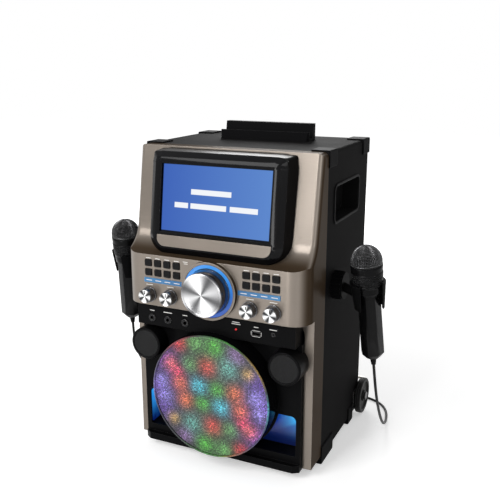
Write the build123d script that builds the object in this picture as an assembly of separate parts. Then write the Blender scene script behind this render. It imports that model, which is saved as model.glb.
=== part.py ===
from build123d import *
from math import acos, asin, atan2, ceil, cos, degrees, hypot, pi, radians, sin, tan
import os

# A karaoke pedestal with a monitor, a sliding disc tray under the screen, a control panel,
# a round lit speaker and two corded microphones in side holders.
# Millimetres. X runs to the viewer's right, Y to the rear, Z up from the floor.
# Sub-parts are drawn with Y = 0 on the cabinet's front edge, and moved to the part's origin,
# the middle of its footprint on the floor, when they are written.

os.makedirs("parts", exist_ok=True)

# Fits and clearances
running_fit = 0.05
panel_gap = 0.3
slide_gap = 0.3
key_gap = 0.25
overrun = 1.0
weld = 0.5

# Cabinet
cabinet_width = 336.0
cabinet_depth = 225.0
cabinet_height = 545.0
cabinet_wall = 6.0
foot_height = 8.0
cabinet_edge_radius = 5.0
back_panel_thickness = 6.0
back_ledge_width = 8.0
back_ledge_depth = 6.0

# Handle pockets in the cabinet's sides
handle_length = 135.0
handle_height = 60.0
handle_depth = 30.0
handle_front = 35.0
handle_drop = 91.0
handle_wall = 3.0
handle_corner_radius = 10.0

# Corner protectors, which are also the feet
corner_skin = 2.5
corner_reach_x = 30.0
corner_reach_z = 26.0
corner_top_length = 36.0
corner_foot_length = 60.0
rear_foot_length = 26.0

# Wheels on stub axles
wheel_radius = 35.5
wheel_width = 12.0
wheel_floor_gap = 1.5
wheel_rear_inset = 3.0
wheel_side_gap = 1.0
wheel_hub_radius = 11.0
wheel_groove_radius = 24.0
wheel_groove_depth = 3.0
wheel_edge_radius = 2.5
axle_radius = 4.0
axle_cap_radius = 8.0
axle_cap_thickness = 2.5
axle_plate_size = 38.0
axle_plate_thickness = 2.5

# Silver front bezel
bezel_wall = 3.0
panel_reach = 90.0
panel_top = 376.0
panel_bottom = 286.0
panel_corner_radius = 33.0
frame_top_reach = 23.0
frame_low_reach = 46.0
frame_low_height = 420.0
frame_corner_radius = 10.0
leg_reach = 50.0
leg_face_width = 16.0
leg_bottom = 16.0
arch_radius = 25.0
arch_drop = 4.0

# Monitor pod, which leans back
pod_tilt = 8.0
pod_reach = 73.0
screen_middle_height = 472.8
screen_width = 198.0
screen_height = 111.7
window_margin = 1.0
pod_face_width = 224.0
pod_face_up = 67.0
pod_face_down = 84.0
pod_chamfer_width = 10.0
pod_chamfer_depth = 8.0
pod_depth = 50.0
pod_flare = 8.0
pod_top_radius = 9.0
pod_bottom_radius = 22.0
pod_wall = 3.0
display_face = 4.0
display_thickness = 8.0
display_border = 5.0

# Disc tray behind the strip below the screen
door_width = 208.0
door_bottom = 392.0
door_top = 411.0
door_corner_radius = 14.0
door_thickness = 5.0
door_gap = 0.5
tray_width = 132.0
tray_rear = 122.0
tray_bottom = 396.5
tray_thickness = 10.0
disc_middle_y = -8.0
disc_recess_radius = 60.8
disc_recess_depth = 3.2
small_disc_radius = 40.3
small_disc_depth = 1.2
tray_slot_half_width = 20.0
tray_slot_front = 22.0
tray_travel = 140.0

# Rack and pinion of the tray
gear_module = 1.5
pinion_teeth = 12
rack_width = 6.0
rack_inset = 11.0
rack_root = 395.2
rack_length = 154.0
pinion_y = -30.0
tooth_share = 0.42
pinion_shaft_radius = 2.0
bearing_half_length = 4.0
bearing_gap = 1.0
bearing_thickness = 2.0

# Loader chassis
chassis_margin = 7.0
chassis_front = -40.0
chassis_rear = 128.0
chassis_floor_top = 371.5
chassis_floor_thickness = 2.0
chassis_wall = 3.0
guide_width = 8.0
guide_thickness = 2.5
guide_rise = 2.0
bridge_height = 412.5
bridge_thickness = 2.5
bridge_half_length = 12.0
clamp_radius = 16.0
clamp_bottom = 408.0
spindle_motor_radius = 12.0
spindle_motor_top = 392.0
spindle_shaft_radius = 1.5
spindle_hub_radius = 15.0
spindle_hub_bottom = 393.5
spindle_seat = 404.1
spindle_cone_radius = 7.4
spindle_cone_height = 2.6
rail_radius = 1.5
rail_spacing = 28.0
rail_height = 383.0
rail_front = 4.0
rail_rear = 66.0
sled_length = 24.0
sled_half_width = 17.0
sled_thickness = 10.0
sled_start = 14.0
sled_travel = 24.0
lens_radius = 4.0
lens_height = 3.0
sled_lift = 2.0
rail_block_length = 4.0
rail_block_margin = 3.0
loading_motor_x = 26.0
loading_motor_set = 6.0
loading_motor_rise = 8.0
loading_motor_radius = 8.5
loading_motor_length = 22.0
spindle_cone_taper = 1.6
spindle_shaft_rise = 2.0

# Control panel: keys, bars, knobs and the main dial
key_width = 13.0
key_height = 11.7
key_proud = 2.0
key_travel = 0.8
key_flange = 0.9
key_corner_radius = 1.0
key_rim_thickness = 1.5
key_left_columns = (-117.7, -99.5, -81.4, -63.2)
key_right_columns = (65.3, 82.5, 100.0, 117.2)
key_rows = (361.5, 345.0)
bar_width = 74.0
bar_height = 8.0
bar_left_x = -89.9
bar_right_x = 87.5
bar_z = 331.0
bar_proud = 0.6
knob_columns = (-117.0, -76.0, 72.0, 113.0)
knob_z = 306.0
knob_base_radius = 13.8
knob_grip_radius = 11.4
knob_base_thickness = 3.0
knob_length = 17.0
knob_face_gap = 0.6
knob_edge_radius = 1.5
pointer_half_width = 0.6
pointer_depth = 1.0
pointer_start = 3.0
shaft_radius = 3.0
shaft_hole_radius = 4.0
dial_z = 328.0
dial_radius = 38.0
dial_face_radius = 36.5
dial_front = 123.0
dial_back = 94.5
dial_edge_chamfer = 1.2
dial_groove_depth = 1.2
dial_groove_margin = 4.0
dial_groove_width = 2.0
collar_radius = 49.5
collar_proud = 8.0
ring_radius = 45.0
ring_inner_radius = 39.0
ring_flange = 2.0
ring_front_set = 1.2
board_reach = 80.0
board_thickness = 1.6
board_side_margin = 11.0
board_edge_margin = 4.0
board_post_radius = 3.0
board_post_side_set = 4.0
board_post_edge_set = 8.0
switch_half_width = 3.0
switch_gap = 0.2
pot_radius = 8.0
pot_length = 5.5
encoder_radius = 12.0
pot_neck_radius = 5.0
encoder_neck_radius = 6.0
pot_neck_length = 2.0
solder_depth = 0.2

# Jack panel
jack_panel_reach = 82.0
jack_panel_half_width = 148.0
jack_panel_wall = 3.0
jack_x = (-119.0, -87.6, -53.5)
jack_z = 260.0
jack_radius = 3.25
jack_body_radius = 8.0
jack_nut_radius = 6.5
jack_nut_proud = 1.5
jack_length = 28.0
jack_end_wall = 2.0
line_jack_x = 109.4
line_jack_z = 265.0
line_jack_radius = 1.8
line_jack_body_radius = 5.0
line_jack_nut_radius = 3.6
line_jack_length = 14.0
line_jack_proud = 0.5
line_jack_end_wall = 1.0
usb_x = 79.4
usb_z = 262.0
usb_shell_width = 14.5
usb_shell_height = 7.0
usb_shell_wall = 0.8
usb_length = 16.0
usb_end_wall = 2.0
usb_tongue_margin = 2.0
usb_tongue_low = 0.4
usb_tongue_high = 2.2
led_x = 43.0
led_z = 264.0
led_radius = 1.5
led_proud = 1.0
led_base_length = 3.0

# Lower fascia, speaker and plinth
fascia_half_width = 151.5
fascia_top = 246.0
fascia_bottom = 14.0
fascia_reach = 60.0
fascia_wall = 3.0
speaker_z = 140.0
speaker_radius = 110.5
speaker_rim = 6.5
speaker_reach = 101.0
speaker_plate = 2.0
speaker_plate_set = 2.0
speaker_ring_margin = 3.0
speaker_edge_radius = 4.0
woofer_opening_inset = 20.0
well_edge_x = 146.0
well_low = 38.0
well_high = 118.0
well_corner_radius = 12.0
well_depth = 32.0
well_inner_x = 62.0
well_wall = 1.5
lit_panel_thickness = 1.5
plinth_reach = 69.5
plinth_half_width = 141.0
plinth_top = 27.0
plinth_chamfer = 7.0
led_board_reach = 78.0
led_board_gap = 2.0
led_board_thickness = 2.0
led_ring_width = 10.0
led_lamp_radius = 3.0
led_lamp_height = 1.5
led_pitch = 26.0
led_strip = 9.0
led_post_radius = 4.0
woofer_flange_width = 8.0
woofer_flange_thickness = 4.0
woofer_basket_depth = 48.0
woofer_magnet_radius = 42.0
woofer_magnet_depth = 22.0
woofer_cone_wall = 1.5
woofer_basket_wall = 2.0
woofer_throat_radius = 16.0

# Tweeter pods
pod_x = 131.0
pod_z = 211.0
tweeter_radius = 29.0
tweeter_reach = 88.0
tweeter_wall = 3.0
tweeter_grille_set = 1.5
tweeter_grille_thickness = 1.5
tweeter_driver_radius = 22.0
tweeter_driver_depth = 14.0
tweeter_edge_radius = 2.0
tweeter_driver_gap = 1.0
tweeter_boss_step = 4.0

# Tablet cradle on the top
cradle_width = 174.0
cradle_front = 122.0
cradle_base = 4.0
cradle_lip_thickness = 9.0
cradle_lip_height = 16.0
cradle_slot = 14.0
cradle_slot_depth = 12.0
cradle_rest_thickness = 20.0
cradle_rest_height = 30.0
cradle_corner_radius = 6.0
cradle_draft = 2.0
cradle_lean_share = 0.2

# Microphones: head middle, and how the body leans away below it
mic_x = 231.5
mic_y = 10.0
mic_z = 389.0
mic_lean_x = 12.5
mic_lean_y = 28.0
mic_drop = 184.0
mic_head_radius = 29.0
mic_head_bottom = 6.0
mic_neck_bottom = 65.0
mic_neck_radius = 22.0
mic_body_bottom = 176.0
mic_tip = 186.0
mic_body_radius = 20.0
mic_tip_radius = 12.0
mic_facets = 8
boot_length = 15.0
boot_radius = 6.0
boot_tip_radius = 4.0
mic_rib_count = 7
mic_rib_height = 0.6
mic_rib_start = 18.0
mic_rib_step = 4.0
mic_rib_width = 1.6
mic_head_step = 0.5
mic_head_wall = 1.5

# Microphone holders
holder_y = 46.0
holder_z = 322.0
boss_radius = 23.0
boss_length = 20.0
boss_rib_count = 16
boss_rib_radius = 1.6
boss_rib_short = 3.0
mouth_overlap = 0.01
arm_radius = 8.0
clip_bottom = 92.0
clip_wall = 4.0
clip_gap = 0.9
clip_flare_top = 46.0
clip_slot = 37.0
clip_turn = 60.0

# Microphone cords
cord_radius = 2.5
coil_turns_per_layer = 4
coil_inner_radius = 17.0
coil_turn_pitch = 6.2
coil_layer_pitch = 5.8
coil_climb = 0.375
coil_last_turn = 0.125
coil_lead = 12.0
coil_tail = 32.0
coil_x = 48.0
coil_y = 318.0
plug_radius = 7.6
plug_length = 38.0
plug_pin_radius = 3.15
plug_pin_length = 30.0
plug_edge_radius = 1.5
plug_tip_length = 4.5
plug_tip_radius = 1.2
plug_groove_width = 1.5
plug_groove_depth = 0.8

# Rear panel fittings
terminal_x = 90.0
terminal_z = 150.0
terminal_width = 110.0
terminal_height = 60.0
terminal_thickness = 2.0
socket_wall = 2.0
inlet_pin_radius = 1.2
inlet_width = 20.0
inlet_height = 11.0
inlet_depth = 14.0
rocker_width = 13.0
rocker_height = 19.0
rocker_thickness = 6.0
rocker_turn_radius = 5.5
rocker_proud = 2.0
rocker_pin_radius = 1.0
rca_radius = 4.2
rca_wall = 1.2
rca_length = 8.0
rca_pin_radius = 1.0
screw_radius = 1.6
screw_head_radius = 3.6
screw_head_height = 1.6
screw_length = 10.0
screw_slot_width = 0.8

# Boards inside the cabinet
main_board_width = 150.0
main_board_height = 100.0
main_board_stand = 10.0
main_board_drop = 30.0
main_post_inset = 6.0
inner_post_radius = 3.0
heat_sink_half_width = 30.0
heat_sink_depth = 24.0
heat_sink_base = 4.0
heat_sink_low = 50.0
heat_sink_high = 90.0
heat_sink_fin = 2.0
heat_sink_slots = 9
main_can_x = 50.0
main_can_z = 24.0
main_can_radius = 8.0
main_can_length = 18.0
supply_left = 30.0
supply_width = 110.0
supply_front = 90.0
supply_depth = 100.0
supply_stand = 6.0
transformer_left = 45.0
transformer_width = 50.0
transformer_front = 105.0
transformer_depth = 45.0
transformer_height = 42.0
supply_can_x = 118.0
supply_can_places = (125.0, 160.0)
supply_can_radius = 11.0
supply_can_height = 30.0

# Places worked out from the values above
cabinet_bottom = foot_height
cabinet_top = foot_height + cabinet_height
handle_middle_height = cabinet_top - handle_drop
chassis_half_width = tray_width / 2 + chassis_margin
rack_middle_x = rack_inset - tray_width / 2
speaker_inner_radius = speaker_radius - speaker_rim
woofer_opening_radius = speaker_inner_radius - woofer_opening_inset
woofer_flange_radius = woofer_opening_radius + woofer_flange_width
led_board_radius = speaker_inner_radius - led_board_gap
led_post_circle = (speaker_inner_radius + woofer_opening_radius) / 2
half_width = cabinet_width / 2
inner_half = half_width - cabinet_wall
wheel_y = cabinet_depth - wheel_rear_inset
wheel_z = wheel_radius + wheel_floor_gap
front_reach = dial_front
rear_reach = wheel_y + wheel_radius
to_origin = (0, (front_reach - rear_reach) / 2, 0)


# ---------------------------------------------------------------- helpers

def block(x0, x1, y0, y1, z0, z1):
    """A box between two corners."""
    corner = (min(x0, x1), min(y0, y1), min(z0, z1))
    size = Box(abs(x1 - x0), abs(y1 - y0), abs(z1 - z0), align=(Align.MIN, Align.MIN, Align.MIN))
    return Pos(*corner) * size


def rod(x, y, z, radius, length, axis):
    """A cylinder that starts at a point and runs along +X, +Y or +Z."""
    turn = {"x": Rot(0, 90, 0), "y": Rot(-90, 0, 0), "z": Rot(0, 0, 0)}[axis]
    low = (Align.CENTER, Align.CENTER, Align.MIN)
    return Pos(x, y, z) * turn * Cylinder(radius, length, align=low)


def tube(x, y, z, radius, bore, length, axis):
    """A pipe that starts at a point and runs along +X, +Y or +Z."""
    return rod(x, y, z, radius, length, axis) - rod(x, y, z, bore, length, axis)


def both_sides(right_hand):
    """The right-hand piece and its mirror image on the left, as one group."""
    return Compound(children=[*right_hand.solids(), *mirror(right_hand, about=Plane.YZ).solids()])


def group(*pieces):
    """Separate solids that share one node."""
    return Compound(children=[solid for piece in pieces for solid in piece.solids()])


def write(name, shape):
    """Move a sub-part to the part's origin and write its STEP file."""
    placed = Compound(children=[Pos(*to_origin) * solid for solid in shape.solids()])
    export_step(placed, f"parts/{name}.step")


# ---------------------------------------------------------------- cabinet

def cabinet_outline():
    """The cabinet's outer box, with its long edges rounded."""
    box = block(-half_width, half_width, 0, cabinet_depth, cabinet_bottom, cabinet_top)
    return fillet(box.edges().filter_by(Axis.Y), cabinet_edge_radius)


def handle_pocket(grow):
    """The space of the right handle pocket, or its cup's outside when grown by the cup's wall."""
    size_y = handle_length + 2 * grow
    size_z = handle_height + 2 * grow
    depth = handle_depth + grow
    middle = Pos(half_width - depth / 2, handle_front + handle_length / 2, handle_middle_height)
    pocket = Box(depth, size_y, size_z)
    return middle * fillet(pocket.edges().filter_by(Axis.X), handle_corner_radius + grow)


def cabinet_shell():
    """Top, bottom and sides in one moulding, with handle pockets and a ledge for the back panel."""
    ledge_front = cabinet_depth - back_panel_thickness - back_ledge_depth
    ledge_back = cabinet_depth - back_panel_thickness
    low = cabinet_bottom + cabinet_wall
    high = cabinet_top - cabinet_wall
    ledge_half = inner_half - back_ledge_width
    shell = cabinet_outline()
    shell -= block(-inner_half, inner_half, 0, ledge_front, low, high)
    shell -= block(-ledge_half, ledge_half, ledge_front, ledge_back,
                   low + back_ledge_width, high - back_ledge_width)
    shell -= block(-inner_half, inner_half, ledge_back, cabinet_depth, low, high)
    cup = handle_pocket(handle_wall) - handle_pocket(0)
    shell += cup
    shell += mirror(cup, about=Plane.YZ)
    shell -= handle_pocket(0)
    shell -= mirror(handle_pocket(0), about=Plane.YZ)
    for x, z in screw_places():
        shell -= rod(x, ledge_front, z, screw_radius + running_fit, back_ledge_depth, "y")
    return shell


def screw_places():
    """Where the back panel is screwed to its ledge."""
    side = inner_half - back_ledge_width / 2
    low = cabinet_bottom + corner_reach_z + 2 * screw_head_radius
    high = cabinet_top - corner_reach_z - 2 * screw_head_radius
    third = (high - low) / 3
    places = []
    for x in (-side, side):
        for step in range(4):
            places.append((x, low + step * third))
    return places


def terminal_middle():
    """Middle of the terminal plate, on the outside of the back panel."""
    return Pos(terminal_x, cabinet_depth, terminal_z)


def inlet_place():
    """Middle of the mains inlet, on the outside of the terminal plate."""
    out = cabinet_depth + terminal_thickness
    return Pos(terminal_x + terminal_width / 4, out, terminal_z + terminal_height / 6)


def rocker_place():
    """Middle of the power switch's opening, on the outside of the terminal plate."""
    out = cabinet_depth + terminal_thickness
    return Pos(terminal_x, out, terminal_z + terminal_height / 6)


def back_panel():
    """The flat rear cover, with a window behind the terminal plate and holes for its screws."""
    low = cabinet_bottom + cabinet_wall + panel_gap
    high = cabinet_top - cabinet_wall - panel_gap
    side = inner_half - panel_gap
    front = cabinet_depth - back_panel_thickness
    panel = block(-side, side, front, cabinet_depth, low, high)
    margin = 2 * screw_head_radius
    window = Box(terminal_width - 2 * margin, 3 * back_panel_thickness, terminal_height - 2 * margin)
    panel -= terminal_middle() * window
    for x, z in screw_places():
        panel -= rod(x, front, z, screw_radius + running_fit, back_panel_thickness, "y")
    for x, z in terminal_screws():
        panel -= rod(x, front, z, screw_radius + running_fit, back_panel_thickness, "y")
    return panel


def terminal_screws():
    """Where the terminal plate is screwed to the back panel."""
    side = terminal_width / 2 - screw_head_radius
    rise = terminal_height / 2 - screw_head_radius
    return [(terminal_x + sx * side, terminal_z + sz * rise) for sx in (-1, 1) for sz in (-1, 1)]


def rear_terminals():
    """The plate with the mains inlet, the switch's frame and four phono sockets."""
    plate = block(terminal_x - terminal_width / 2, terminal_x + terminal_width / 2,
                  cabinet_depth, cabinet_depth + terminal_thickness,
                  terminal_z - terminal_height / 2, terminal_z + terminal_height / 2)
    rim = 2 * socket_wall
    inlet = Box(inlet_width + rim, inlet_depth, inlet_height + rim)
    inlet_hole = Box(inlet_width, inlet_depth, inlet_height)
    plate += inlet_place() * Pos(0, -inlet_depth / 2, 0) * inlet
    plate -= inlet_place() * Pos(0, socket_wall - inlet_depth / 2, 0) * inlet_hole
    for side in (-1, 1):
        pin = rod(side * inlet_width / 5, socket_wall - inlet_depth, 0, inlet_pin_radius,
                  inlet_depth - rim, "y")
        plate += inlet_place() * pin
    frame_depth = 3 * rocker_thickness
    frame = Box(rocker_width + rim, frame_depth, rocker_height + rim)
    frame_hole = Box(rocker_width + 2 * key_gap, frame_depth, rocker_height + 2 * key_gap)
    plate += rocker_place() * Pos(0, -frame_depth / 2, 0) * frame
    plate -= rocker_place() * Pos(0, socket_wall - frame_depth / 2, 0) * frame_hole
    pivot = rod(-rocker_width / 2 - overrun, -rocker_turn_radius, 0, rocker_pin_radius,
                rocker_width + 2 * overrun, "x")
    plate += rocker_place() * pivot
    for x, z in rca_places():
        plate += tube(x, cabinet_depth, z, rca_radius, rca_radius - rca_wall, rca_length, "y")
        plate += rod(x, cabinet_depth, z, rca_pin_radius, rca_length - rca_pin_radius, "y")
    for x, z in terminal_screws():
        plate -= rod(x, cabinet_depth, z, screw_radius + running_fit, terminal_thickness, "y")
    return plate


def rca_places():
    """Middles of the phono sockets, two by two."""
    left = terminal_x - terminal_width / 4
    step = 3 * rca_radius
    low = terminal_z - step / 2
    return [(left + sx * step / 2, low + sz * step) for sx in (-1, 1) for sz in (0, 1)]


def power_rocker():
    """The switch's rocking cap, on a cross pin."""
    cap = rod(-rocker_width / 2, -rocker_turn_radius, 0, rocker_turn_radius + rocker_proud,
              rocker_width, "x")
    keep = Box(rocker_width, 4 * rocker_turn_radius, rocker_height - 2 * key_gap)
    core = Box(rocker_width, rocker_turn_radius, rocker_height - 2 * rocker_proud)
    cap = cap + Pos(0, -rocker_turn_radius / 2, 0) * core
    cap = cap & keep
    cap -= rod(-rocker_width, -rocker_turn_radius, 0, rocker_pin_radius + running_fit,
               2 * rocker_width, "x")
    return rocker_place() * cap


def screws():
    """The back panel's and terminal plate's screws, each a shank with a round head."""
    pieces = []
    for x, z in screw_places():
        pieces.append(one_screw(x, cabinet_depth, z))
    for x, z in terminal_screws():
        pieces.append(one_screw(x, cabinet_depth + terminal_thickness, z))
    return group(*pieces)


def one_screw(x, y, z):
    """One screw whose head lies on the face at y."""
    shank = rod(x, y - screw_length, z, screw_radius, screw_length, "y")
    head = rod(x, y, z, screw_head_radius, screw_head_height, "y")
    cutter = Box(2 * screw_head_radius, screw_head_height, screw_slot_width)
    slot = Pos(x, y + screw_head_height, z) * cutter
    return shank + head - slot


def corner_protectors():
    """Eight moulded corners: four round the top, four under the cabinet that are its feet."""
    outline = cabinet_outline()
    top = cabinet_top + corner_skin
    side = half_width + corner_skin
    low_z = cabinet_top - corner_reach_z
    inner_x = half_width - corner_reach_x
    back = cabinet_depth + corner_skin
    front_edge = panel_gap
    top_front = block(inner_x, side, front_edge, corner_top_length, low_z, top)
    top_rear = block(inner_x, side, cabinet_depth - corner_top_length, back, low_z, top)
    high_z = cabinet_bottom + corner_reach_z
    foot_front = block(inner_x, side, front_edge, corner_foot_length, 0, high_z)
    foot_end = wheel_y - wheel_radius - 2 * wheel_side_gap
    foot_rear = block(inner_x, side, foot_end - rear_foot_length, foot_end, 0, high_z)
    pieces = []
    for corner in (top_front, top_rear, foot_front, foot_rear):
        rounded = fillet(corner.edges().filter_by(Axis.Y).group_by(Axis.X)[-1], corner_skin)
        pieces.append(rounded - outline)
    return both_sides(group(*pieces))


def wheel(side):
    """One wheel: a grooved tyre and a hub with its bore, on the stub axle of its side."""
    inner = half_width + axle_plate_thickness + wheel_side_gap
    disc = rod(inner, wheel_y, wheel_z, wheel_radius, wheel_width, "x")
    disc = fillet(disc.edges().filter_by(GeomType.CIRCLE), wheel_edge_radius)
    groove_start = inner + wheel_width - wheel_groove_depth
    disc -= tube(groove_start, wheel_y, wheel_z, wheel_groove_radius, wheel_hub_radius,
                 wheel_groove_depth, "x")
    disc -= rod(inner, wheel_y, wheel_z, axle_radius + running_fit, wheel_width, "x")
    if side > 0:
        return disc
    return mirror(disc, about=Plane.YZ)


def wheel_axles():
    """The plates on the cabinet's sides that carry the stub axles, each with its end cap."""
    plate_low = wheel_z - axle_plate_size / 2
    plate_front = cabinet_depth - axle_plate_size
    start = half_width
    length = axle_plate_thickness + wheel_width + 2 * wheel_side_gap
    plate = block(start, start + axle_plate_thickness, plate_front, cabinet_depth,
                  plate_low, plate_low + axle_plate_size)
    plate += rod(start, wheel_y, wheel_z, 2 * axle_radius, axle_plate_thickness + wheel_side_gap / 2, "x")
    plate += rod(start, wheel_y, wheel_z, axle_radius, length, "x")
    plate += rod(start + length, wheel_y, wheel_z, axle_cap_radius, axle_cap_thickness, "x")
    return both_sides(plate)


def tablet_cradle():
    """The rest on the top: a lip, a slot for a tablet's edge and a leaning back rest."""
    floor = cabinet_top + cradle_base
    lip_back = cradle_front + cradle_lip_thickness
    slot_back = lip_back + cradle_slot
    rear = slot_back + cradle_rest_thickness
    lip_top = cabinet_top + cradle_lip_height
    rest_top = cabinet_top + cradle_rest_height
    lean = cradle_lean_share * (rest_top - floor)
    profile = Polyline((cradle_front, cabinet_top), (rear, cabinet_top), (rear - cradle_draft, rest_top),
                       (slot_back + lean, rest_top), (slot_back, floor), (lip_back, floor),
                       (lip_back, lip_top), (cradle_front + cradle_draft, lip_top),
                       (cradle_front, cabinet_top))
    sheet = make_face(Plane.YZ * profile)
    body = extrude(sheet, cradle_width / 2, both=True)
    keep = Pos(0, (cradle_front + rear) / 2, cabinet_top + cradle_rest_height / 2)
    hull = Box(cradle_width, rear - cradle_front, cradle_rest_height)
    return body & keep * fillet(hull.edges().filter_by(Axis.Z), cradle_corner_radius)


# ---------------------------------------------------------------- monitor pod

pod_frame = Plane(origin=(0, -pod_reach, screen_middle_height), x_dir=(1, 0, 0),
                  z_dir=(0, -cos(radians(pod_tilt)), sin(radians(pod_tilt))))
pod_place = Location(pod_frame)


def pod_section(spread, depth, grow):
    """The pod's outline at a depth behind its face, spread beyond the face's own outline."""
    half = pod_face_width / 2 + spread + grow
    up = pod_face_up + spread + grow
    down = pod_face_down + spread + grow
    sheet = Pos(0, (up - down) / 2) * Rectangle(2 * half, up + down)
    sheet = fillet(sheet.vertices().group_by(Axis.Y)[-1], pod_top_radius + max(spread + grow, 0))
    sheet = fillet(sheet.vertices().group_by(Axis.Y)[0], pod_bottom_radius + max(spread + grow, 0))
    return pod_place * Pos(0, 0, -depth) * sheet.face()


def pod_chamfer_ring(grow):
    """The pod's front slice, from its face to the outer edge of its chamfer."""
    return loft([pod_section(0, 0, grow), pod_section(pod_chamfer_width, pod_chamfer_depth, grow)],
                ruled=True)


def pod_flank(grow, back):
    """The pod behind its chamfer, flaring towards the rear."""
    flare = pod_chamfer_width + pod_flare * (back - pod_chamfer_depth) / (pod_depth - pod_chamfer_depth)
    return loft([pod_section(pod_chamfer_width, pod_chamfer_depth, grow),
                 pod_section(flare, back, grow)], ruled=True)


def door_outline(grow):
    """The tray door's outline seen from the front, swept along Y through the whole pod."""
    width = door_width + 2 * grow
    height = door_top - door_bottom + 2 * grow
    sheet = Pos(0, (door_top + door_bottom) / 2) * Rectangle(width, height)
    sheet = fillet(sheet.vertices().group_by(Axis.Y)[0], door_corner_radius + grow)
    placed = Plane.XZ * sheet
    return extrude(placed, 2 * pod_reach, both=True)


def pod_slab(front, back):
    """Everything between two depths behind the pod's face."""
    thickness = back - front
    return pod_place * Pos(0, 0, -(front + back) / 2) * Box(2 * cabinet_width, cabinet_height, thickness)


def window_opening(grow, front, back):
    """The screen's opening through the pod's face, between two depths."""
    size_x = screen_width + 2 * grow
    size_y = screen_height + 2 * grow
    return pod_place * Pos(0, 0, -(front + back) / 2) * Box(size_x, size_y, back - front)


def monitor_bezel():
    """The glossy front of the pod, with the screen's window and the tray door's slot."""
    ring = pod_chamfer_ring(0)
    ring -= window_opening(window_margin, 0, display_face)
    ring -= window_opening(display_border + panel_gap, display_face, pod_chamfer_depth)
    return ring - (door_outline(door_gap) & pod_slab(-overrun, pod_chamfer_depth + overrun))


def monitor_housing():
    """The pod's body behind its front, open at the back, which passes through the silver frame."""
    outer = pod_flank(0, pod_depth)
    inner = pod_flank(-pod_wall, pod_depth)
    shell = outer - inner
    slot = pod_slab(pod_chamfer_depth - overrun, pod_chamfer_depth + 2 * pod_wall)
    return shell - (door_outline(door_gap) & slot)


def display_panel():
    """The screen module, seated behind the pod's face."""
    back = display_face + display_thickness
    return window_opening(display_border, display_face, back)


# ---------------------------------------------------------------- silver front bezel

def bezel_profile():
    """The bezel's side view: a leaning frame, a concave scoop and the control panel.

    The scoop runs on past its crease, where the plan cuts it at the panel's front.
    """
    top_front = (-frame_top_reach, cabinet_top)
    frame_low = (-frame_low_reach, frame_low_height)
    crease = (-panel_reach, panel_top)
    lean = (frame_low[0] - top_front[0], frame_low[1] - top_front[1])
    scoop = TangentArc(frame_low, crease, tangent=lean)
    scoop_bottom = (scoop.arc_center.X, scoop.arc_center.Y - scoop.radius)
    edges = Line((0, cabinet_top), top_front) + Line(top_front, frame_low)
    edges += TangentArc(frame_low, scoop_bottom, tangent=lean)
    edges += Line(scoop_bottom, (scoop_bottom[0], panel_bottom))
    edges += Polyline((scoop_bottom[0], panel_bottom), (0, panel_bottom), (0, cabinet_top))
    return make_face(edges)


def bezel_plan(inset):
    """The bezel's plan: the cabinet's width with rounded front corners, run well past its back."""
    back = panel_reach
    depth = panel_reach - inset + back
    middle = Pos(0, (back - panel_reach + inset) / 2)
    sheet = RectangleRounded(cabinet_width - 2 * inset, depth, panel_corner_radius - inset)
    return extrude(middle * sheet, cabinet_top + cabinet_height)


def filled_bezel(inset):
    """The upper frame and control panel as one filled body, with every outer face moved in."""
    sheet = offset(bezel_profile(), -inset) if inset else bezel_profile()
    side = half_width - inset
    body = extrude(Plane.YZ * sheet, side, both=True)
    on_side = [edge for edge in body.edges() if abs(abs(edge.center().X) - side) < panel_gap]
    framing = [edge for edge in on_side if edge.center().Z > panel_top and edge.center().Y < -2 * bezel_wall]
    body = fillet(framing, frame_corner_radius - inset)
    return body & bezel_plan(inset)


def bezel_shell():
    """The upper frame and control panel in one skin, open towards the cabinet."""
    inner_side = half_width - bezel_wall
    mouth = block(-inner_side, inner_side, -2 * bezel_wall, 0,
                  panel_bottom + bezel_wall, cabinet_top - frame_corner_radius)
    return filled_bezel(0) - filled_bezel(bezel_wall) - mouth


def bezel_legs():
    """The legs beside the lower fascia, joined above it by an arch with round corners."""
    front = block(-half_width, half_width, -leg_reach, bezel_wall - leg_reach, leg_bottom, panel_bottom)
    opening_half = half_width - leg_face_width
    opening_top = panel_bottom - arch_drop
    opening = Pos(0, opening_top - cabinet_height / 2) * Rectangle(2 * opening_half, cabinet_height)
    opening = fillet(opening.vertices().group_by(Axis.Y)[-1], arch_radius)
    front -= extrude(Plane.XZ * opening, 2 * panel_reach, both=True)
    side = block(half_width - bezel_wall, half_width, -leg_reach, 0, leg_bottom, panel_bottom)
    return front + side + mirror(side, about=Plane.YZ)


def key_places():
    """Middles of the sixteen keys."""
    return [(x, z) for z in key_rows for x in key_left_columns + key_right_columns]


def front_bezel():
    """The silver front in one moulding, pierced for the pod, keys, bars, knobs and dial."""
    skin = bezel_shell() + bezel_legs()
    skin += rod(0, -panel_reach - collar_proud, dial_z, collar_radius, collar_proud + bezel_wall, "y")
    skin -= rod(0, -panel_reach - collar_proud, dial_z, ring_radius + panel_gap,
                collar_proud + bezel_wall, "y")
    skin -= pod_chamfer_ring(panel_gap)
    skin -= pod_flank(panel_gap, pod_depth)
    wall_back = bezel_wall - panel_reach
    for x, z in key_places():
        skin -= block(x - key_width / 2 - key_gap, x + key_width / 2 + key_gap, -panel_reach, wall_back,
                      z - key_height / 2 - key_gap, z + key_height / 2 + key_gap)
    for x in (bar_left_x, bar_right_x):
        skin -= block(x - bar_width / 2 - key_gap, x + bar_width / 2 + key_gap, -panel_reach, wall_back,
                      bar_z - bar_height / 2 - key_gap, bar_z + bar_height / 2 + key_gap)
    for x in knob_columns:
        skin -= rod(x, -panel_reach, knob_z, shaft_hole_radius, bezel_wall, "y")
    for x, z in board_post_places():
        skin += rod(x, wall_back - overrun, z, board_post_radius,
                    panel_reach - board_reach - bezel_wall + overrun, "y")
    return skin


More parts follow.
